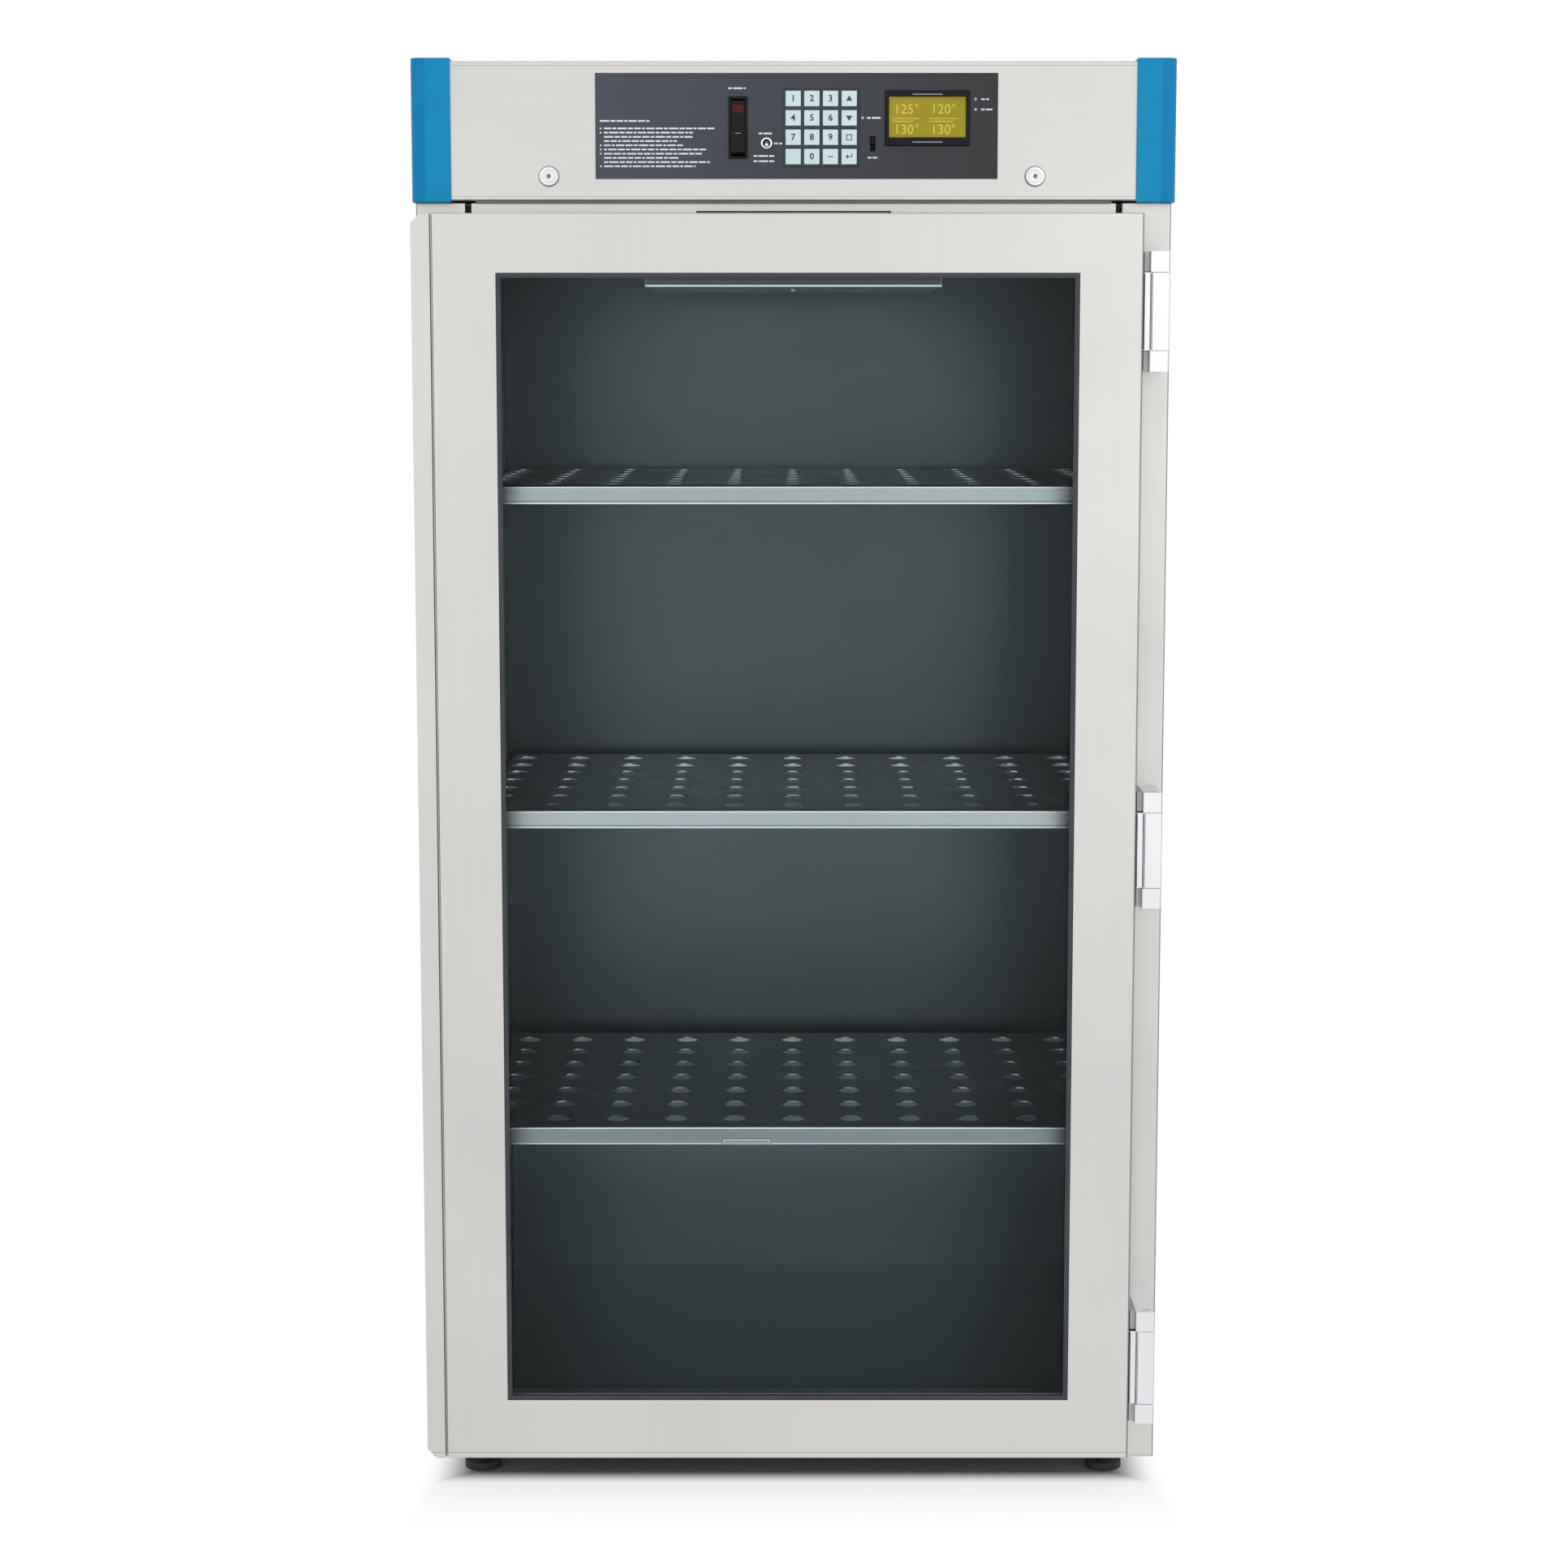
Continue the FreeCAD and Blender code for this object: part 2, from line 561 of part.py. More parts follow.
body = new_body("base_pan")
prism(body, "Pad", "base_sheet", "XY_Plane", "BaseZ", "BaseZ + SheetThick",
      [block("-HalfBody", "HalfBody", "FrontY", "RearY - SheetThick")])
prism(body, "Pad", "bottom_rail", "XZ_Plane", "FrontY", "FrontY + SheetThick",
      [block("-(PostEdge - FitClear)", "PostEdge - FitClear", "BaseZ", "FloorZ")])
prism(body, "Pad", "rail_return", "XY_Plane", "FloorZ - SheetThick", "FloorZ",
      [block("-(PostEdge - FitClear)", "PostEdge - FitClear", "FrontY", "LipBackY")])
keep("base_pan", body)

body = new_body("top_rail")
prism(body, "Pad", "rail_sheet", "YZ_Plane", "-(PostEdge - RailSlot)", "PostEdge - RailSlot", [(
    ("FrontY", "CeilingZ"),
    ("LipBackY", "CeilingZ"),
    ("LipBackY", "CeilingZ + SheetThick"),
    ("FrontY + SheetThick", "CeilingZ + SheetThick"),
    ("FrontY + SheetThick", "BodyTop - SheetThick"),
    ("LipBackY", "BodyTop - SheetThick"),
    ("LipBackY", "BodyTop"),
    ("FrontY", "BodyTop"),
)])
keep("top_rail", body)

body = new_body("top_deck")
prism(body, "Pad", "deck_sheet", "XY_Plane", "BodyTop - SheetThick", "BodyTop",
      [block("-(HalfBody - SheetThick)", "HalfBody - SheetThick", "LipBackY", "RearY - 2 * SheetThick")],
      [("0", "FanY", "ShaftHole")])
keep("top_deck", body)

body = new_body("rear_panel")
prism(body, "Pad", "rear_sheet", "XZ_Plane", "RearY - SheetThick", "RearY",
      [block("-HalfBody", "HalfBody", "BaseZ", "HeaderTop - SheetThick")])
prism(body, "Pocket", "inlet_cutout", "XZ_Plane", "RearY - SheetThick", "RearY",
      [block("InletX - InletWidth / 2 - FitClear", "InletX + InletWidth / 2 + FitClear",
             "HeaderZ + InletLift - InletHeight / 2 - FitClear",
             "HeaderZ + InletLift + InletHeight / 2 + FitClear")])
vent = prism(body, "Pocket", "vent_slot", "XZ_Plane", "RearY - SheetThick", "RearY",
             [block("-HalfBody / 3 - VentWidth / 2", "-HalfBody / 3 + VentWidth / 2",
                    "HeaderZ + HeaderHeight / 2 - (VentCount - 1) * VentPitch / 2 - VentSlot / 2",
                    "HeaderZ + HeaderHeight / 2 - (VentCount - 1) * VentPitch / 2 + VentSlot / 2")])
grid_pattern(body, "vent_field", [vent], ("Z_Axis", "(VentCount - 1) * VentPitch", "VentCount"),
             ("X_Axis", "HalfBody * 2 / 3", "2"))
keep("rear_panel", body)

# ---------------------------------------------------------------------------
# Heated chamber: flat liner sheets, the insulation behind them, shelf standards
# ---------------------------------------------------------------------------

body = new_body("chamber_side_walls")
wall = prism(body, "Pad", "wall_sheet", "YZ_Plane", "ChamberHalf", "ChamberHalf + SheetThick",
             [block("FrontY + 2 * SheetThick", "BackWallY + SheetThick",
                    "FloorZ - SheetThick", "CeilingZ + SheetThick")])
mirror(body, "left_wall", [wall])
keep("chamber_side_walls", body)

body = new_body("chamber_back_wall")
prism(body, "Pad", "back_sheet", "XZ_Plane", "BackWallY", "BackWallY + SheetThick",
      [block("-ChamberHalf", "ChamberHalf", "FloorZ", "CeilingZ")])
keep("chamber_back_wall", body)

body = new_body("chamber_end_panels")
prism(body, "Pad", "floor_sheet", "XY_Plane", "FloorZ - SheetThick", "FloorZ",
      [block("-ChamberHalf", "ChamberHalf", "LipBackY", "BackWallY + SheetThick")])
prism(body, "Pad", "ceiling_sheet", "XY_Plane", "CeilingZ", "CeilingZ + SheetThick",
      [block("-ChamberHalf", "ChamberHalf", "LipBackY", "BackWallY + SheetThick")],
      [("0", "FanY", "ShaftHole")])
keep("chamber_end_panels", body)

jacket = slab("jacket_outside",
              ("-(HalfBody - SheetThick - JacketClear)", "HalfBody - SheetThick - JacketClear"),
              ("LipBackY + JacketClear", "RearY - 2 * SheetThick - JacketClear"),
              ("BaseZ + SheetThick", "BodyTop - SheetThick"))
hollow = slab("jacket_hollow",
              ("-(ChamberHalf + SheetThick)", "ChamberHalf + SheetThick"),
              ("LipBackY", "BackWallY + SheetThick"),
              ("FloorZ - SheetThick", "CeilingZ + SheetThick"))
shaft_way = rod("jacket_shaft_way", "ShaftHole", "BodyTop - CeilingZ", "0", "FanY", "CeilingZ")
keep("insulation", joined("jacket", "Cut", (joined("jacket_shell", "Cut", (jacket, hollow)), shaft_way)))

body = new_body("shelf_pilasters")
standard = prism(body, "Pad", "standard", "XY_Plane", "FloorZ + PilasterEnd", "CeilingZ - PilasterEnd", [(
    ("ChamberHalf", "ShelfFrontY + PilasterInset - PilasterWidth / 2"),
    ("StandardX", "ShelfFrontY + PilasterInset - PilasterWidth / 2"),
    ("StandardX", "ShelfFrontY + PilasterInset + PilasterWidth / 2"),
    ("ChamberHalf", "ShelfFrontY + PilasterInset + PilasterWidth / 2"),
    ("ChamberHalf", "ShelfFrontY + PilasterInset + PilasterWidth / 2 - PilasterSheet"),
    ("StandardX + PilasterSheet", "ShelfFrontY + PilasterInset + PilasterWidth / 2 - PilasterSheet"),
    ("StandardX + PilasterSheet", "ShelfFrontY + PilasterInset - PilasterWidth / 2 + PilasterSheet"),
    ("ChamberHalf", "ShelfFrontY + PilasterInset - PilasterWidth / 2 + PilasterSheet"),
)])
rows_on_both_sides(body, "standards", [standard], [("Y_Axis", "ShelfDepth - 2 * PilasterInset", "2")])
keep("shelf_pilasters", body)

body = new_body("shelf_clips", z="FloorZ + LowestShelf - ShelfLip")
clip = prism(body, "Pad", "clip", "XZ_Plane", "ShelfFrontY + PilasterInset - ClipWidth / 2",
             "ShelfFrontY + PilasterInset + ClipWidth / 2", [(
                 ("StandardX", "-ClipHeight"),
                 ("StandardX", "0"),
                 ("StandardX - ClipReach", "0"),
                 ("StandardX - ClipReach", "-ClipThick"),
                 ("StandardX - ClipThick", "-ClipThick"),
                 ("StandardX - ClipThick", "-ClipHeight"),
             )])
rows_on_both_sides(body, "clips", [clip], [("Y_Axis", "ShelfDepth - 2 * PilasterInset", "2"),
                                             ("Z_Axis", "2 * ShelfPitch", "3")])
keep("shelf_clips", body)

# ---------------------------------------------------------------------------
# Shelves: one perforated sheet with four folded lips, hemmed at front and rear
# ---------------------------------------------------------------------------


HOLE_SIDES = 6   # straight-sided, so that 231 holes stay light


def perforated_shelf(name, level):
    """A shelf whose upper face is at the given height above the chamber floor."""
    body = new_body(name, z=f"FloorZ + {level}")
    prism(body, "Pad", f"{name}_sheet", "YZ_Plane", "-ShelfHalf", "ShelfHalf", [(
        ("ShelfFrontY", "0"),
        ("ShelfFrontY", "-ShelfLip"),
        ("ShelfFrontY + ShelfHem", "-ShelfLip"),
        ("ShelfFrontY + ShelfHem", "-ShelfLip + SheetThick"),
        ("ShelfFrontY + SheetThick", "-ShelfLip + SheetThick"),
        ("ShelfFrontY + SheetThick", "-SheetThick"),
        ("ShelfRearY - SheetThick", "-SheetThick"),
        ("ShelfRearY - SheetThick", "-ShelfLip + SheetThick"),
        ("ShelfRearY - ShelfHem", "-ShelfLip + SheetThick"),
        ("ShelfRearY - ShelfHem", "-ShelfLip"),
        ("ShelfRearY", "-ShelfLip"),
        ("ShelfRearY", "0"),
    )])
    prism(body, "Pad", f"{name}_side_lips", "XY_Plane", "-ShelfLip", "0", [
        block("-ShelfHalf", "-ShelfHalf + SheetThick", "ShelfFrontY", "ShelfRearY"),
        block("ShelfHalf - SheetThick", "ShelfHalf", "ShelfFrontY", "ShelfRearY"),
    ])
    round_edges(body, f"{name}_bends", "SheetThick", lambda middle, along: abs(along.x) > 0.9 and (
        near((middle.y, "ShelfFrontY"), (middle.z, "0"))
        or near((middle.y, "ShelfFrontY"), (middle.z, "-ShelfLip"))
        or near((middle.y, "ShelfRearY"), (middle.z, "0"))))
    hole = prism(body, "Pocket", f"{name}_hole", "XY_Plane", "-SheetThick", "0",
                 [many_sided("-ShelfHalf + HoleSideInset", "ShelfFrontY + HoleEndInset", "HoleRadius",
                             HOLE_SIDES)])
    grid_pattern(body, f"{name}_holes", [hole],
                 ("X_Axis", "2 * (ShelfHalf - HoleSideInset)", "HoleColumns"),
                 ("Y_Axis", "ShelfDepth - 2 * HoleEndInset", "HoleRows"))
    return keep(name, body)


perforated_shelf("shelf_bottom", "LowestShelf")
perforated_shelf("shelf_middle", "LowestShelf + ShelfPitch")
perforated_shelf("shelf_top", "LowestShelf + 2 * ShelfPitch")

# ---------------------------------------------------------------------------
# Air system: guard, fan on its motor, heating loop round the fan, probes
# ---------------------------------------------------------------------------

OUTLET_SIDES = 8

body = new_body("air_guard", y="FanY")
prism(body, "Pad", "guard_sheet", "YZ_Plane", "-GuardHalf", "GuardHalf", [(
    ("-GuardDepth / 2", "CeilingZ"),
    ("-GuardDepth / 2", "GuardZ"),
    ("GuardDepth / 2", "GuardZ"),
    ("GuardDepth / 2", "CeilingZ"),
    ("GuardDepth / 2 - SheetThick", "CeilingZ"),
    ("GuardDepth / 2 - SheetThick", "GuardZ + SheetThick"),
    ("-GuardDepth / 2 + SheetThick", "GuardZ + SheetThick"),
    ("-GuardDepth / 2 + SheetThick", "CeilingZ"),
)])
prism(body, "Pad", "guard_sides", "XY_Plane", "GuardZ", "CeilingZ", [
    block("-GuardHalf", "-GuardHalf + SheetThick", "-GuardDepth / 2", "GuardDepth / 2"),
    block("GuardHalf - SheetThick", "GuardHalf", "-GuardDepth / 2", "GuardDepth / 2"),
])
round_edges(body, "guard_bend", "SheetThick", lambda middle, along: abs(along.x) > 0.9
            and near((abs(middle.y), "GuardDepth / 2"), (middle.z, "GuardZ")))
slot = prism(body, "Pocket", "intake_slot", "XY_Plane", "GuardZ", "GuardZ + SheetThick",
             [block("IntakeInner", "FanEye - IntakeLand", "-IntakeWidth / 2", "IntakeWidth / 2")])
round_pattern(body, "intake", [slot], "IntakeSlots")
outlet = prism(body, "Pocket", "outlet_hole", "XZ_Plane", "-GuardDepth / 2",
               "-GuardDepth / 2 + SheetThick",
               [many_sided("-(GuardHoles - 1) * GuardHolePitch / 2", "GuardZ + GuardHeight / 2",
                           "GuardHoleRadius", OUTLET_SIDES)])
line_pattern(body, "outlet_row", [outlet], "X_Axis", "(GuardHoles - 1) * GuardHolePitch", "GuardHoles")
keep("air_guard", body)

CAN_SIDES = 16   # hidden round pieces

body = new_body("fan_motor", y="FanY", z="BodyTop")
prism(body, "Pad", "motor_plate", "XY_Plane", "0", "MotorPlateThick",
      [block("-MotorPlate / 2", "MotorPlate / 2", "-MotorPlate / 2", "MotorPlate / 2")])
prism(body, "Pad", "motor_can", "XY_Plane", "0", "MotorHeight", [many_sided("0", "0", "MotorRadius", CAN_SIDES)])
prism(body, "Pad", "bearing_boss", "XY_Plane", "-BossDrop", "0", [many_sided("0", "0", "BossRadius", CAN_SIDES)])
prism(body, "Pocket", "bearing_bore", "XY_Plane", "-BossDrop", "ShaftSeat",
      circles=[("0", "0", "ShaftRadius + ShaftClear")])
keep("fan_motor", body)

RIM_SIDES = 2 * int(value("FanBlades"))   # two flats to a blade round both plates

body = new_body("fan_wheel", y="FanY", z="FanZ")
prism(body, "Pad", "back_plate", "XY_Plane", "-FanPlate", "0", [many_sided("0", "0", "FanRadius", RIM_SIDES)])
prism(body, "Pad", "hub", "XY_Plane", "-FanHeight", "-FanPlate / 2", [many_sided("0", "0", "HubRadius", CAN_SIDES)])
prism(body, "Pad", "shaft", "XY_Plane", "-FanPlate / 2", "BodyTop - FanZ + ShaftSeat - BendRadius",
      circles=[("0", "0", "ShaftRadius")])
blade = prism(body, "Pad", "blade", "XY_Plane", "-FanHeight", "-FanPlate / 2", [(
    ("FanEye", "-BladeLean"),
    ("FanRadius - FanPlate", "0"),
    ("FanRadius - FanPlate", "FanPlate"),
    ("FanEye", "-BladeLean + FanPlate"),
)])
round_pattern(body, "blades", [blade], "FanBlades")
prism(body, "Pad", "shroud", "XY_Plane", "-FanHeight - FanPlate", "-FanHeight",
      [many_sided("0", "0", reach, RIM_SIDES) for reach in ("FanRadius", "FanEye")])
keep("fan_wheel", body)

ROD_SIDES = 8   # thin rods, lamps and probes

body = new_body("heating_element", y="FanY")
feet = [prism(body, "Pad", f"{end}_bracket", "XZ_Plane", f"{place} - SheetThick / 2", f"{place} + SheetThick / 2",
              [block("HeaterX - HeaterFoot / 2", "HeaterX + HeaterFoot / 2", "HeaterZ - 2 * HeaterTube", "CeilingZ")])
        for end, place in (("front", "-HeaterLength / 2"), ("rear", "HeaterLength / 2"))]
heating_rod = prism(body, "Pad", "heating_rod", "XZ_Plane", "-HeaterLength / 2", "HeaterLength / 2 + TerminalReach",
                    [many_sided("HeaterX", "HeaterZ", "HeaterTube", ROD_SIDES)])
mirror(body, "other_rod", [*feet, heating_rod])
keep("heating_element", body)

body = new_body("temperature_sensors")
clamp = prism(body, "Pad", "probe_block", "YZ_Plane", "ProbeSpread - ProbeBlock / 2",
              "ProbeSpread + ProbeBlock / 2",
              [block("BackWallY - ProbeBlock", "BackWallY", "CeilingZ - ProbeBlock", "CeilingZ")])
probe = prism(body, "Pad", "probe", "XZ_Plane", "BackWallY - ProbeBlock - ProbeLength", "BackWallY - ProbeBlock",
              [many_sided("ProbeSpread", "CeilingZ - ProbeBlock / 2", "ProbeRadius", ROD_SIDES)])
mirror(body, "left_probe", [clamp, probe])
keep("temperature_sensors", body)

# ---------------------------------------------------------------------------
# Door: folded skin, inner frame, two panes in dark seals, gasket, pull, leaves
# ---------------------------------------------------------------------------

WINDOW = block("WindowLeft", "WindowRight", "WindowBottom", "WindowTop")


def window_ring(inner, outer):
    """Two outlines around the window: one set in, one set out, by formulas."""
    return [block(f"WindowLeft - ({grow})", f"WindowRight + ({grow})",
                  f"WindowBottom - ({grow})", f"WindowTop + ({grow})") for grow in (outer, inner)]


body = new_body("door_skin")
prism(body, "Pad", "door_block", "XZ_Plane", "DoorY", "DoorBackY",
      [block("DoorLeft", "DoorRight", "DoorBottom", "DoorTop")])
round_edges(body, "door_bends", "BendRadius", lambda middle, along: abs(along.y) < 0.1
            and near((middle.y, "DoorY")))
prism(body, "Pocket", "door_inside", "XZ_Plane", "DoorY + SheetThick", "DoorBackY",
      [block("DoorLeft + SheetThick", "DoorRight - SheetThick",
             "DoorBottom + SheetThick", "DoorTop - SheetThick")])
prism(body, "Pocket", "door_window", "XZ_Plane", "DoorY", "DoorY + SheetThick", [WINDOW])
keep("door_skin", body)

body = new_body("door_inner_frame")
prism(body, "Pad", "frame_back", "XZ_Plane", "DoorBackY - SheetThick", "DoorBackY",
      [block("DoorLeft + SheetThick + SkinClear", "DoorRight - SheetThick - SkinClear",
             "DoorBottom + SheetThick + SkinClear", "DoorTop - SheetThick - SkinClear"), WINDOW])
prism(body, "Pad", "frame_rim", "XZ_Plane", "InnerGlassY + GlassThick", "DoorBackY",
      window_ring("0", "RimWall"))
prism(body, "Pad", "frame_seat", "XZ_Plane", "InnerGlassY + GlassThick",
      "InnerGlassY + GlassThick + RimWall", window_ring("0", "GlassLap + RimWall"))
prism(body, "Pad", "frame_pocket", "XZ_Plane", "GlassY", "InnerGlassY + GlassThick + RimWall",
      window_ring("GlassLap + FitClear", "GlassLap + RimWall + FitClear"))
keep("door_inner_frame", body)

body = new_body("door_glass")
PANE = block("WindowLeft - GlassLap", "WindowRight + GlassLap",
             "WindowBottom - GlassLap", "WindowTop + GlassLap")
prism(body, "Pad", "outer_pane", "XZ_Plane", "GlassY", "GlassY + GlassThick", [PANE])
prism(body, "Pad", "inner_pane", "XZ_Plane", "InnerGlassY", "InnerGlassY + GlassThick", [PANE])
keep("door_glass", body)

body = new_body("glazing_seals")
prism(body, "Pad", "front_bead", "XZ_Plane", "DoorY + BeadSink", "GlassY", window_ring("-BeadWidth", "0"))
prism(body, "Pad", "pane_spacer", "XZ_Plane", "GlassY + GlassThick", "InnerGlassY",
      window_ring("0", "GlassLap"))
keep("glazing_seals", body)

body = new_body("door_gasket")
prism(body, "Pad", "gasket_ring", "XZ_Plane", "DoorBackY", "FrontY - GasketClear", [
    block("DoorLeft + SheetThick + GasketInset", "DoorRight - SheetThick - GasketInset",
          "DoorBottom + SheetThick + GasketInset", "DoorTop - SheetThick - GasketInset"),
    block("DoorLeft + SheetThick + GasketInset + GasketWidth",
          "DoorRight - SheetThick - GasketInset - GasketWidth",
          "DoorBottom + SheetThick + GasketInset + GasketWidth",
          "DoorTop - SheetThick - GasketInset - GasketWidth"),
])
round_edges(body, "gasket_bulb", "GasketWidth / 4", lambda middle, along: abs(along.y) < 0.1
            and near((middle.y, "FrontY - GasketClear")))
keep("door_gasket", body)

body = new_body("door_pull")
prism(body, "Pad", "pull_strip", "XY_Plane", "DoorBottom", "DoorTop", [(
    ("-HalfBody", "DoorY"),
    ("PullInner", "DoorY"),
    ("PullInner", "DoorY + PullGrooveDeep"),
    ("DoorLeft", "DoorY + PullGrooveDeep"),
    ("DoorLeft", "DoorBackY - PullGroove"),
    ("DoorLeft - PullFlange", "DoorBackY - PullGroove"),
    ("DoorLeft - PullFlange", "DoorY + PullSheet"),
    ("-HalfBody + PullSheet", "DoorY + PullSheet"),
    ("-HalfBody + PullSheet", "DoorY + PullLip"),
    ("-HalfBody", "DoorY + PullLip"),
)])
prism(body, "Pocket", "pull_corners", "XZ_Plane", "DoorY", "DoorY + PullLip", [
    (("-HalfBody", "DoorTop - PullChamfer"), ("-HalfBody + PullChamfer", "DoorTop"), ("-HalfBody", "DoorTop")),
    (("-HalfBody", "DoorBottom + PullChamfer"), ("-HalfBody + PullChamfer", "DoorBottom"),
     ("-HalfBody", "DoorBottom")),
])
round_edges(body, "pull_bend", "PullSheet * 0.75", lambda middle, along: abs(along.z) > 0.9
            and near((middle.x, "-HalfBody"), (middle.y, "DoorY")))
keep("door_pull", body)

# ---------------------------------------------------------------------------
# Hinges: end blocks on the body, a knuckle on the door leaf, one pin each
# ---------------------------------------------------------------------------

HINGE_ROW = ("Z_Axis", "HingeSpan", "3")

body = new_body("hinge_brackets", z="LowHingeZ")
bracket = prism(body, "Pad", "bracket_plate", "XZ_Plane", "FrontY - BracketPlate", "FrontY",
                [block("HingeInner", "HingeOuter", "-HingeHeight / 2", "HingeHeight / 2")])
ends = []
for name, low, high in (("lower", "-HingeHeight / 2", "-KnuckleHeight / 2 - HingeRunning"),
                        ("upper", "KnuckleHeight / 2 + HingeRunning", "HingeHeight / 2")):
    ends.append(prism(body, "Pad", f"{name}_end_block", "XY_Plane", low, high,
                      [block("HingeInner", "HingeOuter", "DoorY", "FrontY - BracketPlate")]))
bores = prism(body, "Pocket", "bracket_bores", "XY_Plane", "-HingeHeight / 2", "HingeHeight / 2",
              circles=[("AxisX", "AxisY", "PinRadius + PinClear")])
line_pattern(body, "bracket_row", [bracket, *ends, bores], *HINGE_ROW)
round_edges(body, "block_edges", "BendRadius / 2", lambda middle, along: abs(along.z) > 0.9
            and near((middle.y, "DoorY")), "Chamfer")
keep("hinge_brackets", body)

body = new_body("hinge_leaves", z="LowHingeZ")
leaf = prism(body, "Pad", "leaf", "XY_Plane", "-KnuckleHeight / 2", "KnuckleHeight / 2", [(
    ("DoorRight + LeafClear", "DoorY + LeafEdge"),
    ("HingeOuter - KnuckleWidth", "DoorY + LeafEdge"),
    ("HingeOuter - KnuckleWidth", "DoorY"),
    ("HingeOuter", "DoorY"),
    ("HingeOuter", "DoorY + KnuckleDepth"),
    ("DoorRight + LeafClear + LeafThick", "DoorY + KnuckleDepth"),
    ("DoorRight + LeafClear + LeafThick", "DoorBackY - LeafEdge"),
    ("DoorRight + LeafClear", "DoorBackY - LeafEdge"),
)])
leaf_bore = prism(body, "Pocket", "leaf_bore", "XY_Plane", "-KnuckleHeight / 2", "KnuckleHeight / 2",
                  circles=[("AxisX", "AxisY", "PinRadius + PinClear")])
line_pattern(body, "leaf_row", [leaf, leaf_bore], *HINGE_ROW)
keep("hinge_leaves", body)

body = new_body("hinge_pins", z="LowHingeZ")
pin = prism(body, "Pad", "pin", "XY_Plane", "-HingeHeight / 2", "HingeHeight / 2",
            circles=[("AxisX", "AxisY", "PinRadius")])
line_pattern(body, "pin_row", [pin], *HINGE_ROW)
keep("hinge_pins", body)

# ---------------------------------------------------------------------------
# Header: fascia tray, folded cover, moulded corner caps
# ---------------------------------------------------------------------------


def on_plate(name, grow="0"):
    """Outline of a fitting on the control plate, grown by a clearance."""
    across, up, wide, high = FITTINGS[name]
    return block(f"{across} - ({wide}) / 2 - {grow}", f"{across} + ({wide}) / 2 + {grow}",
                 f"{up} - ({high}) / 2 - {grow}", f"{up} + ({high}) / 2 + {grow}")


FITTINGS = {
    "rocker": ("PlateX + RockerX", "PlateZ + RockerZ", "RockerWidth", "RockerHeight"),
    "keypad": ("PlateX + KeypadX", "PlateZ + KeypadZ", "2 * KeypadHalf", "4 * KeyPitchZ + KeyRound"),
    "slide": ("PlateX + SlideX", "PlateZ + SlideZ", "SlideWidth", "SlideHeight"),
    "display": ("PlateX + DisplayX", "PlateZ + DisplayZ", "DisplayWidth", "DisplayHeight"),
}
OPENINGS = [on_plate(name, "FitClear") for name in FITTINGS]
LAMPS = (
    ("PlateX + LoadLampX", "PlateZ + LoadLampZ"),
    ("PlateX + SideLampX", "PlateZ + SideLampHighZ"),
    ("PlateX + SideLampX", "PlateZ + SideLampLowZ"),
)
TOGGLE = ("PlateX + ToggleX", "PlateZ + ToggleZ")
BORES = [(x, z, "LampRadius + FitClear") for x, z in LAMPS] + [(*TOGGLE, "ToggleNut + FitClear")]
FASTENERS = (("-(HalfBody - FastenerLeft)", "HeaderZ + FastenerLift"),
             ("HalfBody - FastenerRight", "HeaderZ + FastenerLift"))
PUNCHED_SIDES = 8    # hidden holes
DRILLED_SIDES = 12   # holes in view

body = new_body("fascia")
prism(body, "Pad", "fascia_block", "XZ_Plane", "HeaderY", "HeaderY + FasciaReturn",
      [block("-FasciaHalf", "FasciaHalf", "HeaderZ", "HeaderTop")])
round_edges(body, "fascia_bends", "BendRadius", lambda middle, along: abs(along.x) > 0.9
            and near((middle.y, "HeaderY")))
prism(body, "Pocket", "fascia_inside", "XZ_Plane", "HeaderY + SheetThick", "HeaderY + FasciaReturn",
      [block("-FasciaHalf + SheetThick", "FasciaHalf - SheetThick",
             "HeaderZ + SheetThick", "HeaderTop - SheetThick")])
prism(body, "Pocket", "fascia_openings", "XZ_Plane", "HeaderY", "HeaderY + SheetThick",
      OPENINGS + [many_sided(*hole, PUNCHED_SIDES)
                  for hole in BORES + [(x, z, "FastenerShank + FitClear") for x, z in FASTENERS]])
keep("fascia", body)

body = new_body("header_cover")
prism(body, "Pad", "cover_sheet", "XZ_Plane", "HeaderY + FasciaReturn", "RearY - SheetThick", [(
    ("HalfBody", "BodyTop"),
    ("HalfBody", "HeaderTop"),
    ("-HalfBody", "HeaderTop"),
    ("-HalfBody", "BodyTop"),
    ("-HalfBody + SheetThick", "BodyTop"),
    ("-HalfBody + SheetThick", "HeaderTop - SheetThick"),
    ("HalfBody - SheetThick", "HeaderTop - SheetThick"),
    ("HalfBody - SheetThick", "BodyTop"),
)])
prism(body, "Pad", "cover_rear_edge", "XZ_Plane", "RearY - SheetThick", "RearY",
      [block("-HalfBody", "HalfBody", "HeaderTop - SheetThick", "HeaderTop")])
round_edges(body, "cover_bends", "BendRadius", lambda middle, along: abs(along.y) > 0.9
            and near((abs(middle.x), "HalfBody"), (middle.z, "HeaderTop")))
keep("header_cover", body)

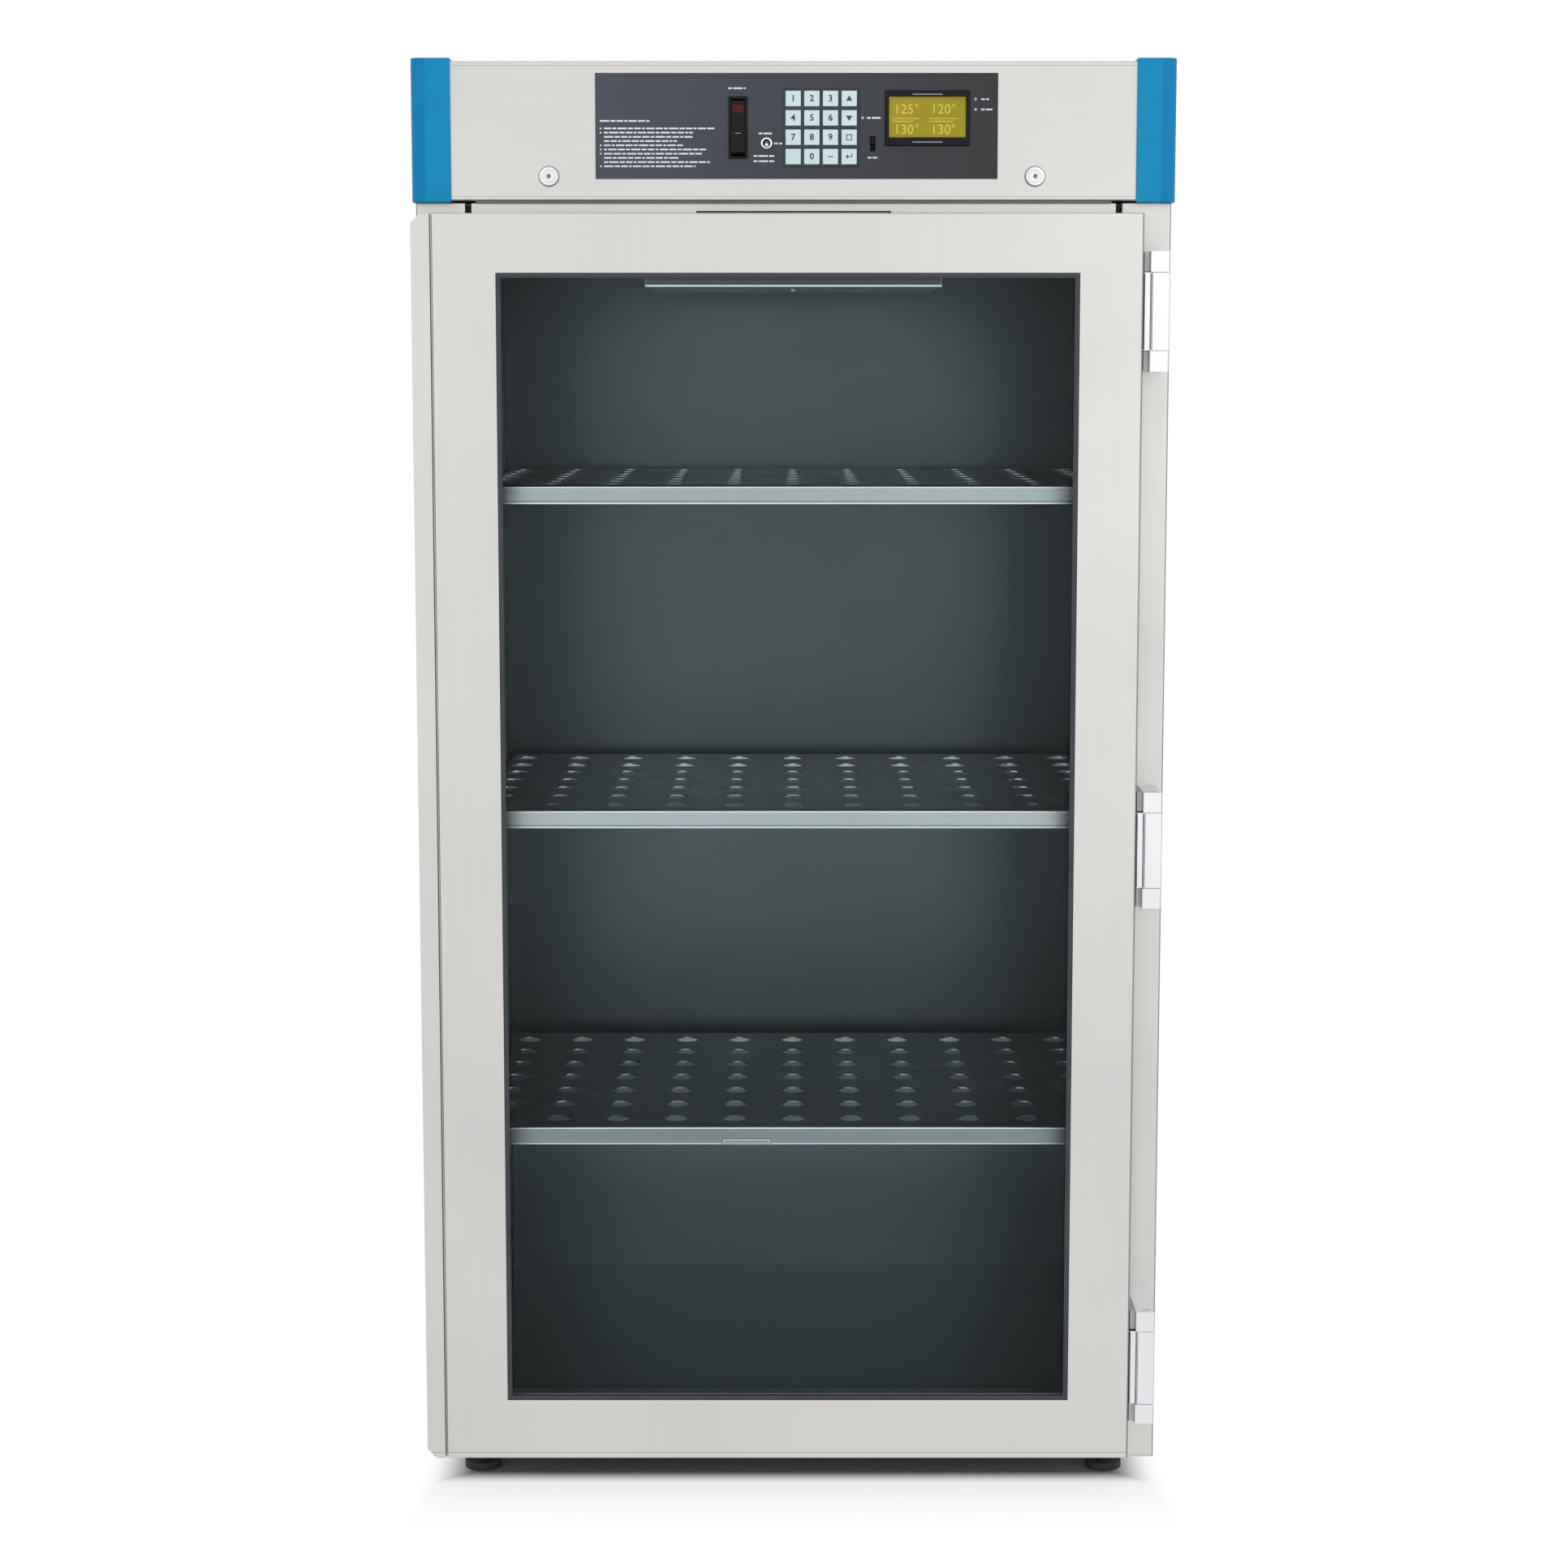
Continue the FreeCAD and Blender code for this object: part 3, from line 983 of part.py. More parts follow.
body = new_body("corner_caps")
cap = prism(body, "Pad", "cap_block", "XY_Plane", "BodyTop", "HeaderTop + CapThick",
            [block("CapInner", "HalfBody + CapThick", "HeaderY - CapThick", "CapBackY")])
cap_inside = prism(body, "Pocket", "cap_inside", "XY_Plane", "BodyTop", "HeaderTop", [(
    ("CapInner", "HeaderY"),
    ("HalfBody - CapSeat", "HeaderY"),
    ("HalfBody", "HeaderY + CapSeat"),
    ("HalfBody", "CapBackY"),
    ("CapInner", "CapBackY"),
)])
mirror(body, "left_cap", [cap, cap_inside])
round_edges(body, "cap_corners", "CapRadius", lambda middle, along: abs(along.z) > 0.9
            and near((abs(middle.x), "HalfBody + CapThick"), (middle.y, "HeaderY - CapThick")))
keep("corner_caps", body)

body = new_body("panel_fasteners")
for name, (x, z) in zip(("left", "right"), FASTENERS):
    prism(body, "Pad", f"{name}_head", "XZ_Plane", "HeaderY - FastenerHead", "HeaderY",
          circles=[(x, z, "FastenerRadius")])
    prism(body, "Pad", f"{name}_shank", "XZ_Plane", "HeaderY", "HeaderY + FasciaReturn",
          [many_sided(x, z, "FastenerShank", PUNCHED_SIDES)])
prism(body, "Pocket", "head_slots", "XZ_Plane", "HeaderY - FastenerHead", "HeaderY - FastenerHead / 2",
      [block(f"{x} - FastenerSlot / 2", f"{x} + FastenerSlot / 2",
             f"{z} - FastenerRadius * 0.6", f"{z} + FastenerRadius * 0.6") for x, z in FASTENERS])
keep("panel_fasteners", body)

# ---------------------------------------------------------------------------
# Control panel: dark plate with the fittings let into it
# ---------------------------------------------------------------------------

body = new_body("control_plate")
prism(body, "Pad", "plate", "XZ_Plane", "PlateY", "HeaderY",
      [block("PlateX - PlateWidth / 2", "PlateX + PlateWidth / 2",
             "PlateZ - PlateHeight / 2", "PlateZ + PlateHeight / 2")])
prism(body, "Pocket", "plate_openings", "XZ_Plane", "PlateY", "HeaderY",
      OPENINGS + [many_sided(*hole, DRILLED_SIDES) for hole in BORES])
keep("control_plate", body)

body = new_body("keypad_frame", x="PlateX + KeypadX", z="PlateZ + KeypadZ")
prism(body, "Pad", "keypad_block", "XZ_Plane", "PlateY", "HeaderY + KeypadDepth",
      [block("-KeypadHalf", "KeypadHalf",
             "-2 * KeyPitchZ - KeyRound / 2", "2 * KeyPitchZ + KeyRound / 2")])
key_hole = prism(body, "Pocket", "key_hole", "XZ_Plane", "PlateY",
                 "PlateY - KeyProud + KeyDepth + KeyTravel + KeyClear",
                 [block("-1.5 * KeyPitchX - KeySize / 2 - KeyClear",
                        "-1.5 * KeyPitchX + KeySize / 2 + KeyClear",
                        "-1.5 * KeyPitchZ - KeySize / 2 - KeyClear",
                        "-1.5 * KeyPitchZ + KeySize / 2 + KeyClear")])
grid_pattern(body, "key_holes", [key_hole], ("X_Axis", "3 * KeyPitchX", "4"),
             ("Z_Axis", "3 * KeyPitchZ", "4"))
keep("keypad_frame", body)

KEY_NAMES = (
    ("key_1", "key_2", "key_3", "key_up"),
    ("key_4", "key_5", "key_6", "key_down"),
    ("key_7", "key_8", "key_9", "key_set"),
    ("key_clear", "key_0", "key_mode", "key_enter"),
)
for row, names in enumerate(KEY_NAMES):
    for column, name in enumerate(names):
        body = new_body(name, x=f"PlateX + KeypadX + {column - 1.5} * KeyPitchX", y="PlateY - KeyProud",
                        z=f"PlateZ + KeypadZ + {1.5 - row} * KeyPitchZ")
        prism(body, "Pad", f"{name}_cap", "XZ_Plane", "0", "KeyDepth",
              [block("-KeySize / 2", "KeySize / 2", "-KeySize / 2", "KeySize / 2")])
        round_edges(body, f"{name}_edges", "KeyRound / 2",
                    lambda middle, along: abs(along.y) < 0.1 and near((middle.y, "0")), "Chamfer")
        keep(name, body)

housing = new_body("rocker_housing", x="PlateX + RockerX", z="PlateZ + RockerZ")
prism(housing, "Pad", "housing_block", "XZ_Plane", "PlateY - SheetThick", "HeaderY + RockerDepth",
      [block("-RockerWidth / 2", "RockerWidth / 2", "-RockerHeight / 2", "RockerHeight / 2")])
prism(housing, "Pocket", "housing_well", "XZ_Plane", "PlateY - SheetThick",
      "HeaderY + RockerDepth - RockerWall",
      [block("-RockerWidth / 2 + RockerWall", "RockerWidth / 2 - RockerWall",
             "-RockerHeight / 2 + RockerWall", "RockerHeight / 2 - RockerWall")])
for side, low, high in (("left", "-RockerWidth / 2 + RockerWall", "-RockerWidth / 2 + 2 * RockerWall"),
                        ("right", "RockerWidth / 2 - 2 * RockerWall", "RockerWidth / 2 - RockerWall")):
    prism(housing, "Pad", f"{side}_trunnion", "YZ_Plane", low, high,
          circles=[("PlateY + RockerDepth / 3", "0", "RockerWall")])

bush = new_body("toggle_bush", x=TOGGLE[0], z=TOGGLE[1])
prism(bush, "Pad", "bush_block", "XZ_Plane", "PlateY - ToggleBush", "HeaderY + RockerDepth / 2",
      [many_sided("0", "0", "ToggleNut", DRILLED_SIDES)])
prism(bush, "Pocket", "bush_mouth", "XZ_Plane", "PlateY - ToggleBush", "HeaderY + RockerDepth / 4",
      [many_sided("0", "0", "ToggleBore", DRILLED_SIDES)])

slide_case = new_body("slide_case", x="PlateX + SlideX", z="PlateZ + SlideZ")
prism(slide_case, "Pad", "case_block", "XZ_Plane", "PlateY", "HeaderY + RockerDepth / 2",
      [block("-SlideWidth / 2", "SlideWidth / 2", "-SlideHeight / 2", "SlideHeight / 2")])
prism(slide_case, "Pocket", "case_well", "XZ_Plane", "PlateY", "HeaderY + RockerDepth / 4",
      [block("-SlideWidth / 2 + RockerWall / 4", "SlideWidth / 2 - RockerWall / 4",
             "-SlideHeight / 2 + RockerWall / 4", "SlideHeight / 2 - RockerWall / 4")])
keep("switch_housings", joined("switches", "Compound", [housing, bush, slide_case]))

# The rocker turns on the housing's trunnions; at rest its upper half is pressed in.
ROCKER_Y = "PlateY + RockerDepth / 3"
ROCKER_HALF = "RockerWidth / 2 - RockerWall - RockerSide"
body = new_body("power_rocker", x="PlateX + RockerX", y=ROCKER_Y, z="PlateZ + RockerZ")
tilt(body, (-1, 0, 0), "RockerThrow / 2")
reach = "RockerHeight / 2 - RockerWall - RockerSide * 2"
prism(body, "Pad", "rocker_profile", "YZ_Plane", f"-({ROCKER_HALF})", ROCKER_HALF, [(
    ("-RockerDepth / 3", "0"),
    (f"-RockerDepth / 3 - sin(RockerThrow * 0.5 deg) * ({reach})", f"({reach}) * 0.93"),
    ("0", reach),
    ("RockerDepth / 4", f"({reach}) * 0.6"),
    ("RockerDepth / 4", f"-({reach}) * 0.6"),
    ("0", f"-({reach})"),
    (f"-RockerDepth / 3 - sin(RockerThrow * 0.5 deg) * ({reach})", f"-({reach}) * 0.93"),
)])
prism(body, "Pocket", "rocker_bore", "YZ_Plane", f"-({ROCKER_HALF})", ROCKER_HALF,
      circles=[("0", "0", "RockerWall + ShaftClear")])
keep("power_rocker", body)

body = new_body("toggle_lever", x=TOGGLE[0], y="PlateY", z=TOGGLE[1])
tilt(body, (1, 0, 0), "90 + ToggleThrow / 2")
for name, low, high, radius in (("drum", "-ToggleDrum / 2", "ToggleDrum / 2", "ToggleBore - 2 * FitClear"),
                                ("stem", "ToggleDrum / 2", "ToggleReach - ToggleTip", "ToggleStem"),
                                ("tip", "ToggleReach - ToggleTip", "ToggleReach", "ToggleStem * 1.7")):
    prism(body, "Pad", name, "XY_Plane", low, high, [many_sided("0", "0", radius, ROD_SIDES)])
keep("toggle_lever", body)

body = new_body("slide_knob", x="PlateX + SlideX",
                z="PlateZ + SlideZ + SlideHeight / 2 - RockerWall / 4 - FitClear - SlideKnob / 2")
prism(body, "Pad", "knob", "XZ_Plane", "PlateY - SlideProud", "HeaderY + RockerDepth / 4 - FitClear",
      [block("-SlideWidth / 2 + RockerWall / 4 + FitClear", "SlideWidth / 2 - RockerWall / 4 - FitClear",
             "-SlideKnob / 2", "SlideKnob / 2")])
keep("slide_knob", body)

body = new_body("display_bezel", x="PlateX + DisplayX", z="PlateZ + DisplayZ")
VIEW = block("-DisplayView / 2", "DisplayView / 2", "DisplayViewLift - DisplayViewHeight / 2",
             "DisplayViewLift + DisplayViewHeight / 2")
prism(body, "Pad", "bezel_block", "XZ_Plane", "PlateY - DisplayProud", "PlateY - DisplayProud + DisplayDepth",
      [block("-DisplayWidth / 2", "DisplayWidth / 2", "-DisplayHeight / 2", "DisplayHeight / 2")])
round_edges(body, "bezel_edges", "DisplayProud / 2", lambda middle, along: abs(along.y) < 0.1
            and near((middle.y, "PlateY - DisplayProud")), "Chamfer")
prism(body, "Pocket", "bezel_inside", "XZ_Plane", "PlateY - DisplayProud + DisplayWall",
      "PlateY - DisplayProud + DisplayDepth",
      [block("-DisplayWidth / 2 + DisplayWall", "DisplayWidth / 2 - DisplayWall",
             "-DisplayHeight / 2 + DisplayWall", "DisplayHeight / 2 - DisplayWall")])
prism(body, "Pocket", "bezel_window", "XZ_Plane", "PlateY - DisplayProud",
      "PlateY - DisplayProud + DisplayWall", [VIEW])
keep("display_bezel", body)

body = new_body("display_panel", x="PlateX + DisplayX", z="PlateZ + DisplayZ")
prism(body, "Pad", "panel", "XZ_Plane", "PlateY - DisplayProud + DisplayWall",
      "PlateY - DisplayProud + DisplayWall + PanelThick",
      [block("-DisplayWidth / 2 + DisplayWall + FitClear", "DisplayWidth / 2 - DisplayWall - FitClear",
             "-DisplayHeight / 2 + DisplayWall + FitClear", "DisplayHeight / 2 - DisplayWall - FitClear")])
keep("display_panel", body)

body = new_body("indicator_lamps")
prism(body, "Pad", "lamps", "XZ_Plane", "PlateY - LampProud", "HeaderY + LampBody",
      [many_sided(x, z, "LampRadius", ROD_SIDES) for x, z in LAMPS])
keep("indicator_lamps", body)

body = new_body("control_board", x="PlateX", z="PlateZ")
prism(body, "Pad", "board_sheet", "XZ_Plane", "HeaderY + BoardSetback", "HeaderY + BoardSetback + BoardThick",
      [block("-BoardWidth / 2", "BoardWidth / 2", "-BoardHeight / 2", "BoardHeight / 2")])
standoff = prism(body, "Pad", "standoff", "XZ_Plane", "HeaderY + SheetThick", "HeaderY + BoardSetback",
                 [many_sided("-BoardWidth / 2 + 2 * StandoffRadius", "-BoardHeight / 2 + 2 * StandoffRadius",
                             "StandoffRadius", 6)])
grid_pattern(body, "standoffs", [standoff], ("X_Axis", "BoardWidth - 4 * StandoffRadius", "2"),
             ("Z_Axis", "BoardHeight - 4 * StandoffRadius", "2"))
relay = prism(body, "Pad", "relay", "XZ_Plane", "HeaderY + BoardSetback + BoardThick",
              "HeaderY + BoardSetback + BoardThick + RelaySize",
              [block("-BoardWidth / 3", "-BoardWidth / 3 + RelaySize", "-RelaySize", "RelaySize")])
line_pattern(body, "relays", [relay], "X_Axis", "(RelayCount - 1) * 2 * RelaySize", "RelayCount")
keep("control_board", body)

# ---------------------------------------------------------------------------
# Rear inlet and feet
# ---------------------------------------------------------------------------

body = new_body("power_inlet", x="InletX", z="HeaderZ + InletLift")
prism(body, "Pad", "inlet_block", "XZ_Plane", "RearY - InletDepth", "RearY",
      [block("-InletWidth / 2", "InletWidth / 2", "-InletHeight / 2", "InletHeight / 2")])
prism(body, "Pocket", "inlet_socket", "XZ_Plane", "RearY - InletSocket", "RearY",
      [block("-InletWidth / 2 + InletWall", "InletWidth / 2 - InletWall",
             "-InletHeight / 2 + InletWall", "InletHeight / 2 - InletWall")])
prism(body, "Pad", "inlet_pins", "XZ_Plane", "RearY - InletSocket", "RearY - InletSocket + InletPin",
      [block(f"{place} * InletPinPitch - 1", f"{place} * InletPinPitch + 1", "-2", "2") for place in (-1, 0, 1)])
keep("power_inlet", body)

body = new_body("levelling_feet", x="-HalfBody + FootInset", y="FrontY + FootInset")
foot = [
    prism(body, "Pad", "pad", "XY_Plane", "0", "FootPad", [many_sided("0", "0", "FootRadius", CAN_SIDES)]),
    prism(body, "Pad", "stud", "XY_Plane", "FootPad", "FootHeight", [many_sided("0", "0", "FootStud", ROD_SIDES)]),
    prism(body, "Pad", "lock_nut", "XY_Plane", "FootHeight - FootPad / 2", "FootHeight",
          [many_sided("0", "0", "FootNut", 6)]),
]
grid_pattern(body, "feet", foot, ("X_Axis", "BodyWidth - 2 * FootInset", "2"),
             ("Y_Axis", "BodyDepth - 2 * FootInset", "2"))
keep("levelling_feet", body)

# ---------------------------------------------------------------------------
# Check and write
# ---------------------------------------------------------------------------

doc.recompute()
faults = [f"{item.Label}: {item.State}" for item in doc.Objects
          if "Invalid" in item.State or "Error" in item.State]
for item in doc.Objects:
    if item.TypeId == "PartDesign::Pocket" and item.BaseFeature:
        if item.BaseFeature.Shape.Volume - item.Shape.Volume < 1e-6:
            faults.append(f"{item.Label}: cuts nothing")
for name, piece in nodes.items():
    if piece.Shape.isNull() or not piece.Shape.isValid() or not piece.Shape.Solids:
        faults.append(f"{name}: bad shape")
if faults:
    raise SystemExit("\n".join(faults))

os.makedirs("parts", exist_ok=True)
for name, piece in nodes.items():
    piece.Shape.exportStep(f"parts/{name}.step")
print(len(nodes), "nodes,", sum(len(piece.Shape.Solids) for piece in nodes.values()), "solids")
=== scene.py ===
import json
import math

import bmesh
import bpy
from mathutils import Matrix, Vector


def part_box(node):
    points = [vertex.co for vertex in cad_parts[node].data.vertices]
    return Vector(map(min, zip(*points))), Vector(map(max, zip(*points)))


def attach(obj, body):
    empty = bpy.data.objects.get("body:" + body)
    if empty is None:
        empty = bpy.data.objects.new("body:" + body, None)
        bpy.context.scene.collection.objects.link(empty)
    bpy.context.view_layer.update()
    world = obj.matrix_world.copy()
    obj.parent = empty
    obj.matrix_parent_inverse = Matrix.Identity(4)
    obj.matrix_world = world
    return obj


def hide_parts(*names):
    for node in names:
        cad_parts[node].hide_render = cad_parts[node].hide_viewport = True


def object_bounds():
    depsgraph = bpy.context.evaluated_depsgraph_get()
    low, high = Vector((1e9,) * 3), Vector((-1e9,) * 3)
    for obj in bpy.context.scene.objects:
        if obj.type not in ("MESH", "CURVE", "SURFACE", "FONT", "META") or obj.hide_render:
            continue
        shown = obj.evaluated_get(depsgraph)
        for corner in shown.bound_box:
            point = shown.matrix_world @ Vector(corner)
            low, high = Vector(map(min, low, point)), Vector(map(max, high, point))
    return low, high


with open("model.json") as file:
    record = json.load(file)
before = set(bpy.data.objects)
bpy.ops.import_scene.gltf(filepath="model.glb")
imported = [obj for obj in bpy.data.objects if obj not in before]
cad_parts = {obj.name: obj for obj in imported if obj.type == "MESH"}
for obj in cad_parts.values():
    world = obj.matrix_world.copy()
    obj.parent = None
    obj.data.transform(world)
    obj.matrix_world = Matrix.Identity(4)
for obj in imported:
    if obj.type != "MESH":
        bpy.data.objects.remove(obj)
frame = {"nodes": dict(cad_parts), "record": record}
cad_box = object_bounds()

# ------------------------------
# Stage: a white floor and world, with a shadow painted into the floor's colour under and ahead of the
# cabinet, soft studio lamps in front of the cabinet, and a camera at the height of the top shelf, looking a
# little down.


def add(tree, kind, inputs=(), **settings):
    """Add a node; inputs maps a socket's name or number to a value or to another node's output."""
    made = tree.nodes.new(kind)
    for name, setting in settings.items():
        setattr(made, name, setting)
    for name, given in dict(inputs).items():
        if isinstance(given, bpy.types.NodeSocket):
            tree.links.new(given, made.inputs[name])
        else:
            made.inputs[name].default_value = given
    return made


def calc(operation, *values):
    """The output of a Math node over numbers and sockets of one tree."""
    tree = next(given.id_data for given in values if isinstance(given, bpy.types.NodeSocket))
    return add(tree, "ShaderNodeMath", dict(enumerate(values)), operation=operation).outputs[0]


def ramp(value, start, end, top=1.0, curve="LINEAR"):
    """A socket mapped to 0 at start and to top at end."""
    return add(value.id_data, "ShaderNodeMapRange",
               {"Value": value, "From Min": start, "From Max": end, "To Max": top},
               interpolation_type=curve).outputs[0]


def blended(share, under, over):
    """Two colours mixed by a socket that runs from 0 to 1."""
    return add(share.id_data, "ShaderNodeMix", {0: share, 6: under, 7: over}, data_type="RGBA").outputs[2]


def layered(share, under, over):
    """Two shaders mixed by a number or a socket."""
    return add(under.id_data, "ShaderNodeMixShader", {0: share, 1: under, 2: over}).outputs[0]


def place_of(finish):
    """The three coordinates of a point on the piece that has a material."""
    tree = finish.node_tree
    return add(tree, "ShaderNodeSeparateXYZ", {0: add(tree, "ShaderNodeTexCoord").outputs["Object"]}).outputs


def seen_by_camera_or_metal(tree):
    """1 for the rays that show the background: to the eye, in gloss or through glass."""
    rays = add(tree, "ShaderNodeLightPath").outputs
    gloss = calc("MAXIMUM", rays["Is Camera Ray"], rays["Is Glossy Ray"])
    return calc("MAXIMUM", gloss, rays["Is Transmission Ray"])


def in_scene(name, data):
    """A new object in the scene."""
    made = bpy.data.objects.new(name, data)
    bpy.context.scene.collection.objects.link(made)
    return made


STUDIO_WHITE = (1, 1, 1, 1)
WORLD_FILL = 0.70  # what the white room adds to matt surfaces
world = bpy.data.worlds.new("white_room")
bpy.context.scene.world = world
world.use_nodes = True
room = world.node_tree
room.nodes.clear()
shown = seen_by_camera_or_metal(room)
strength = add(room, "ShaderNodeMapRange", {"Value": shown, "To Min": WORLD_FILL, "To Max": 1.0})
background = add(room, "ShaderNodeBackground", {"Color": STUDIO_WHITE, "Strength": strength.outputs[0]})
add(room, "ShaderNodeOutputWorld", {"Surface": background.outputs[0]})

FLOOR_SIZE = 14.0
SHADOW_CORE = -0.080  # distances ahead of the door: where the painted deep shadow under the cabinet ends, where it has gone over to a pale painted halo, and where the paper is plain white again
SHADOW_EDGE = -0.040  # where it has gone over to a pale halo,
SHADOW_ENDS = 0.10  # and where the paper is plain white again
SIDE_CORE = -0.05  # where the painted deep shadow ends beside the cabinet, and where the white begins
SIDE_ENDS = 0.015
HALO_SHARE = 0.20
# the paper's colour holds a painted shadow: dark under the cabinet, a pale halo ahead of it
PAINTED_SHADOW_TONE = (0.28, 0.265, 0.255, 1)
PAPER_TONE = (0.84, 0.85, 0.89, 1)
SHEEN_TONE = (0.80, 0.82, 0.88, 1)
SHEEN_SHARE = 0.10
SHEEN_ROUGHNESS = 0.28
paper_shape = bpy.data.meshes.new("studio_floor")
reach = FLOOR_SIZE / 2
paper_shape.from_pydata([(-reach, -reach, 0), (reach, -reach, 0), (reach, reach, 0), (-reach, reach, 0)],
                        [], [(0, 1, 2, 3)])
floor = in_scene("studio_floor", paper_shape)
paper = bpy.data.materials.new("studio_paper")
paper.use_nodes = True
tree = paper.node_tree
tree.nodes.clear()
spot = place_of(paper)
beside = calc("SUBTRACT", calc("ABSOLUTE", spot["X"]), cad_box[1][0])
ahead = calc("SUBTRACT", calc("ABSOLUTE", spot["Y"]), cad_box[1][1])
past_side = ramp(beside, SIDE_CORE, SIDE_ENDS, curve="SMOOTHSTEP")
past_core = ramp(ahead, SHADOW_CORE, SHADOW_EDGE, 1 - HALO_SHARE, "SMOOTHSTEP")
past_halo = ramp(ahead, SHADOW_EDGE, SHADOW_ENDS, HALO_SHARE, "SMOOTHSTEP")
far = calc("MAXIMUM", past_side, calc("ADD", past_core, past_halo))
matt = add(tree, "ShaderNodeBsdfDiffuse", {"Color": blended(far, PAINTED_SHADOW_TONE, PAPER_TONE)}).outputs[0]
sheen = add(tree, "ShaderNodeBsdfAnisotropic", {"Color": SHEEN_TONE, "Roughness": SHEEN_ROUGHNESS}).outputs[0]
glow = add(tree, "ShaderNodeEmission", {"Color": STUDIO_WHITE, "Strength": 1.0}).outputs[0]
lit = layered(far, layered(SHEEN_SHARE, matt, sheen), glow)
add(tree, "ShaderNodeOutputMaterial", {"Surface": layered(seen_by_camera_or_metal(tree), matt, lit)})
paper_shape.materials.append(paper)

LAMPS = (
    # name, place, aimed at, size, power in watts
    ("softbox_left", (-2.4, -3.0, 1.3), (0, -0.2, 0.7), 4.4, 18),
    ("softbox_right", (2.4, -3.0, 0.9), (0, -0.2, 0.7), 4.4, 38),
    ("overhead", (0, 0.1, 3.6), (0, 0, 0.8), 4.0, 28),
    ("rear_fill", (0.8, 3.2, 2.2), (0, 0.3, 0.8), 4.2, 26),
)
for name, place, aim, size, power in LAMPS:
    lamp = bpy.data.lights.new(name, "AREA")
    lamp.shape = "SQUARE"
    lamp.size = size
    lamp.energy = power
    holder = in_scene(name, lamp)
    holder.location = place
    holder.rotation_euler = (Vector(aim) - Vector(place)).to_track_quat("-Z", "Y").to_euler()
    holder.visible_glossy = name.startswith("softbox")  # only the softboxes show in the metal,
    holder.visible_transmission = False  # and none shows through the glass

CAMERA_PLACE = (-0.0097, -3.341, 1.192)
CAMERA_TILT = 6.73  # degrees below level
CAMERA_LENS = 69.4
CAMERA_SHIFT = -0.05
camera = bpy.data.cameras.new("camera")
camera.lens = CAMERA_LENS
camera.shift_y = CAMERA_SHIFT
eye = in_scene("camera", camera)
eye.location = CAMERA_PLACE
eye.rotation_euler = (math.radians(90 - CAMERA_TILT), 0, 0)
bpy.context.scene.camera = eye
bpy.context.scene.view_settings.view_transform = "Standard"

# ------------------------------
# Body shell: side panels with folded posts, base pan, top rail and rear panel in
# satin stainless sheet, a plain steel deck, and screws sunk round the rear panel.

BODY_OF = {node: body for body, nodes in frame["record"]["behaviour"]["bodies"].items() for node in nodes}
SMOOTH_BELOW = math.radians(50)  # facets that meet at less than this are one round surface
SHARP_ABOVE = math.radians(35)  # edges that are rounded off
NODE_WELD = 0.000002  # points nearer than this are one, on a node and on a turned ring
RING_WELD = 0.000001
FLAT_WITHIN = math.radians(0.5)  # facets that meet at less than this are one flat face


def node_group(kind, name, inputs, outputs):
    """A node group with sockets given by name and kind; returns it with its input and output nodes."""
    made = bpy.data.node_groups.new(name, kind)
    for direction, sockets in (("INPUT", inputs), ("OUTPUT", outputs)):
        for label, socket_kind in sockets.items():
            made.interface.new_socket(label, in_out=direction, socket_type="NodeSocket" + socket_kind)
    return made, add(made, "NodeGroupInput").outputs, add(made, "NodeGroupOutput").inputs


def finish_effect(name, own_inputs, pattern, share, start, end):
    """A shader group that varies tone, polish and height by a fine pattern laid over soft clouds."""
    inputs = {"Light": "Color", "Dark": "Color", "Smooth": "Float", "Coarse": "Float", "Depth": "Float"}
    outputs = {"Color": "Color", "Roughness": "Float", "Normal": "Vector"}
    tree, given, out = node_group("ShaderNodeTree", name, {**inputs, **own_inputs}, outputs)
    fine, clouds = pattern(tree, add(tree, "ShaderNodeTexCoord").outputs["Object"], given)
    both = add(tree, "ShaderNodeMix", {0: share, 2: clouds, 3: fine}, data_type="FLOAT").outputs[0]
    spread = ramp(both, start, end)
    polish = {0: spread, 2: given["Coarse"], 3: given["Smooth"]}
    tree.links.new(blended(spread, given["Dark"], given["Light"]), out["Color"])
    tree.links.new(add(tree, "ShaderNodeMix", polish, data_type="FLOAT").outputs[0], out["Roughness"])
    bump = add(tree, "ShaderNodeBump", {"Strength": 1.0, "Distance": given["Depth"], "Height": fine})
    tree.links.new(bump.outputs[0], out["Normal"])
    return tree


def polished_streaks(tree, place, given):
    """Streaks along the grain of polished sheet, and the soft clouds that handling leaves."""
    along = add(tree, "ShaderNodeVectorMath", {0: place, 1: given["Grain"]}, operation="MULTIPLY").outputs[0]
    fine = {"Vector": along, "Scale": 1.0, "Detail": 4.0, "Roughness": 0.6}
    streaks = add(tree, "ShaderNodeTexNoise", fine)
    clouds = add(tree, "ShaderNodeTexNoise", {"Vector": place, "Scale": 3.2, "Detail": 3.0})
    return streaks.outputs[0], clouds.outputs[0]


SHEET = finish_effect("polished_sheet", {"Grain": "Vector"}, polished_streaks, 0.30, 0.32, 0.68)


def material(name, color, roughness, **plain):
    """A material with one Principled shader whose plain numbers are set on its own sockets."""
    made = bpy.data.materials.new(name)
    made.use_nodes = True
    shader = made.node_tree.nodes["Principled BSDF"]
    shader.inputs["Base Color"].default_value = (*color, 1)
    shader.inputs["Roughness"].default_value = roughness
    for label, number in plain.items():
        shader.inputs[label.replace("_", " ")].default_value = number
    return made


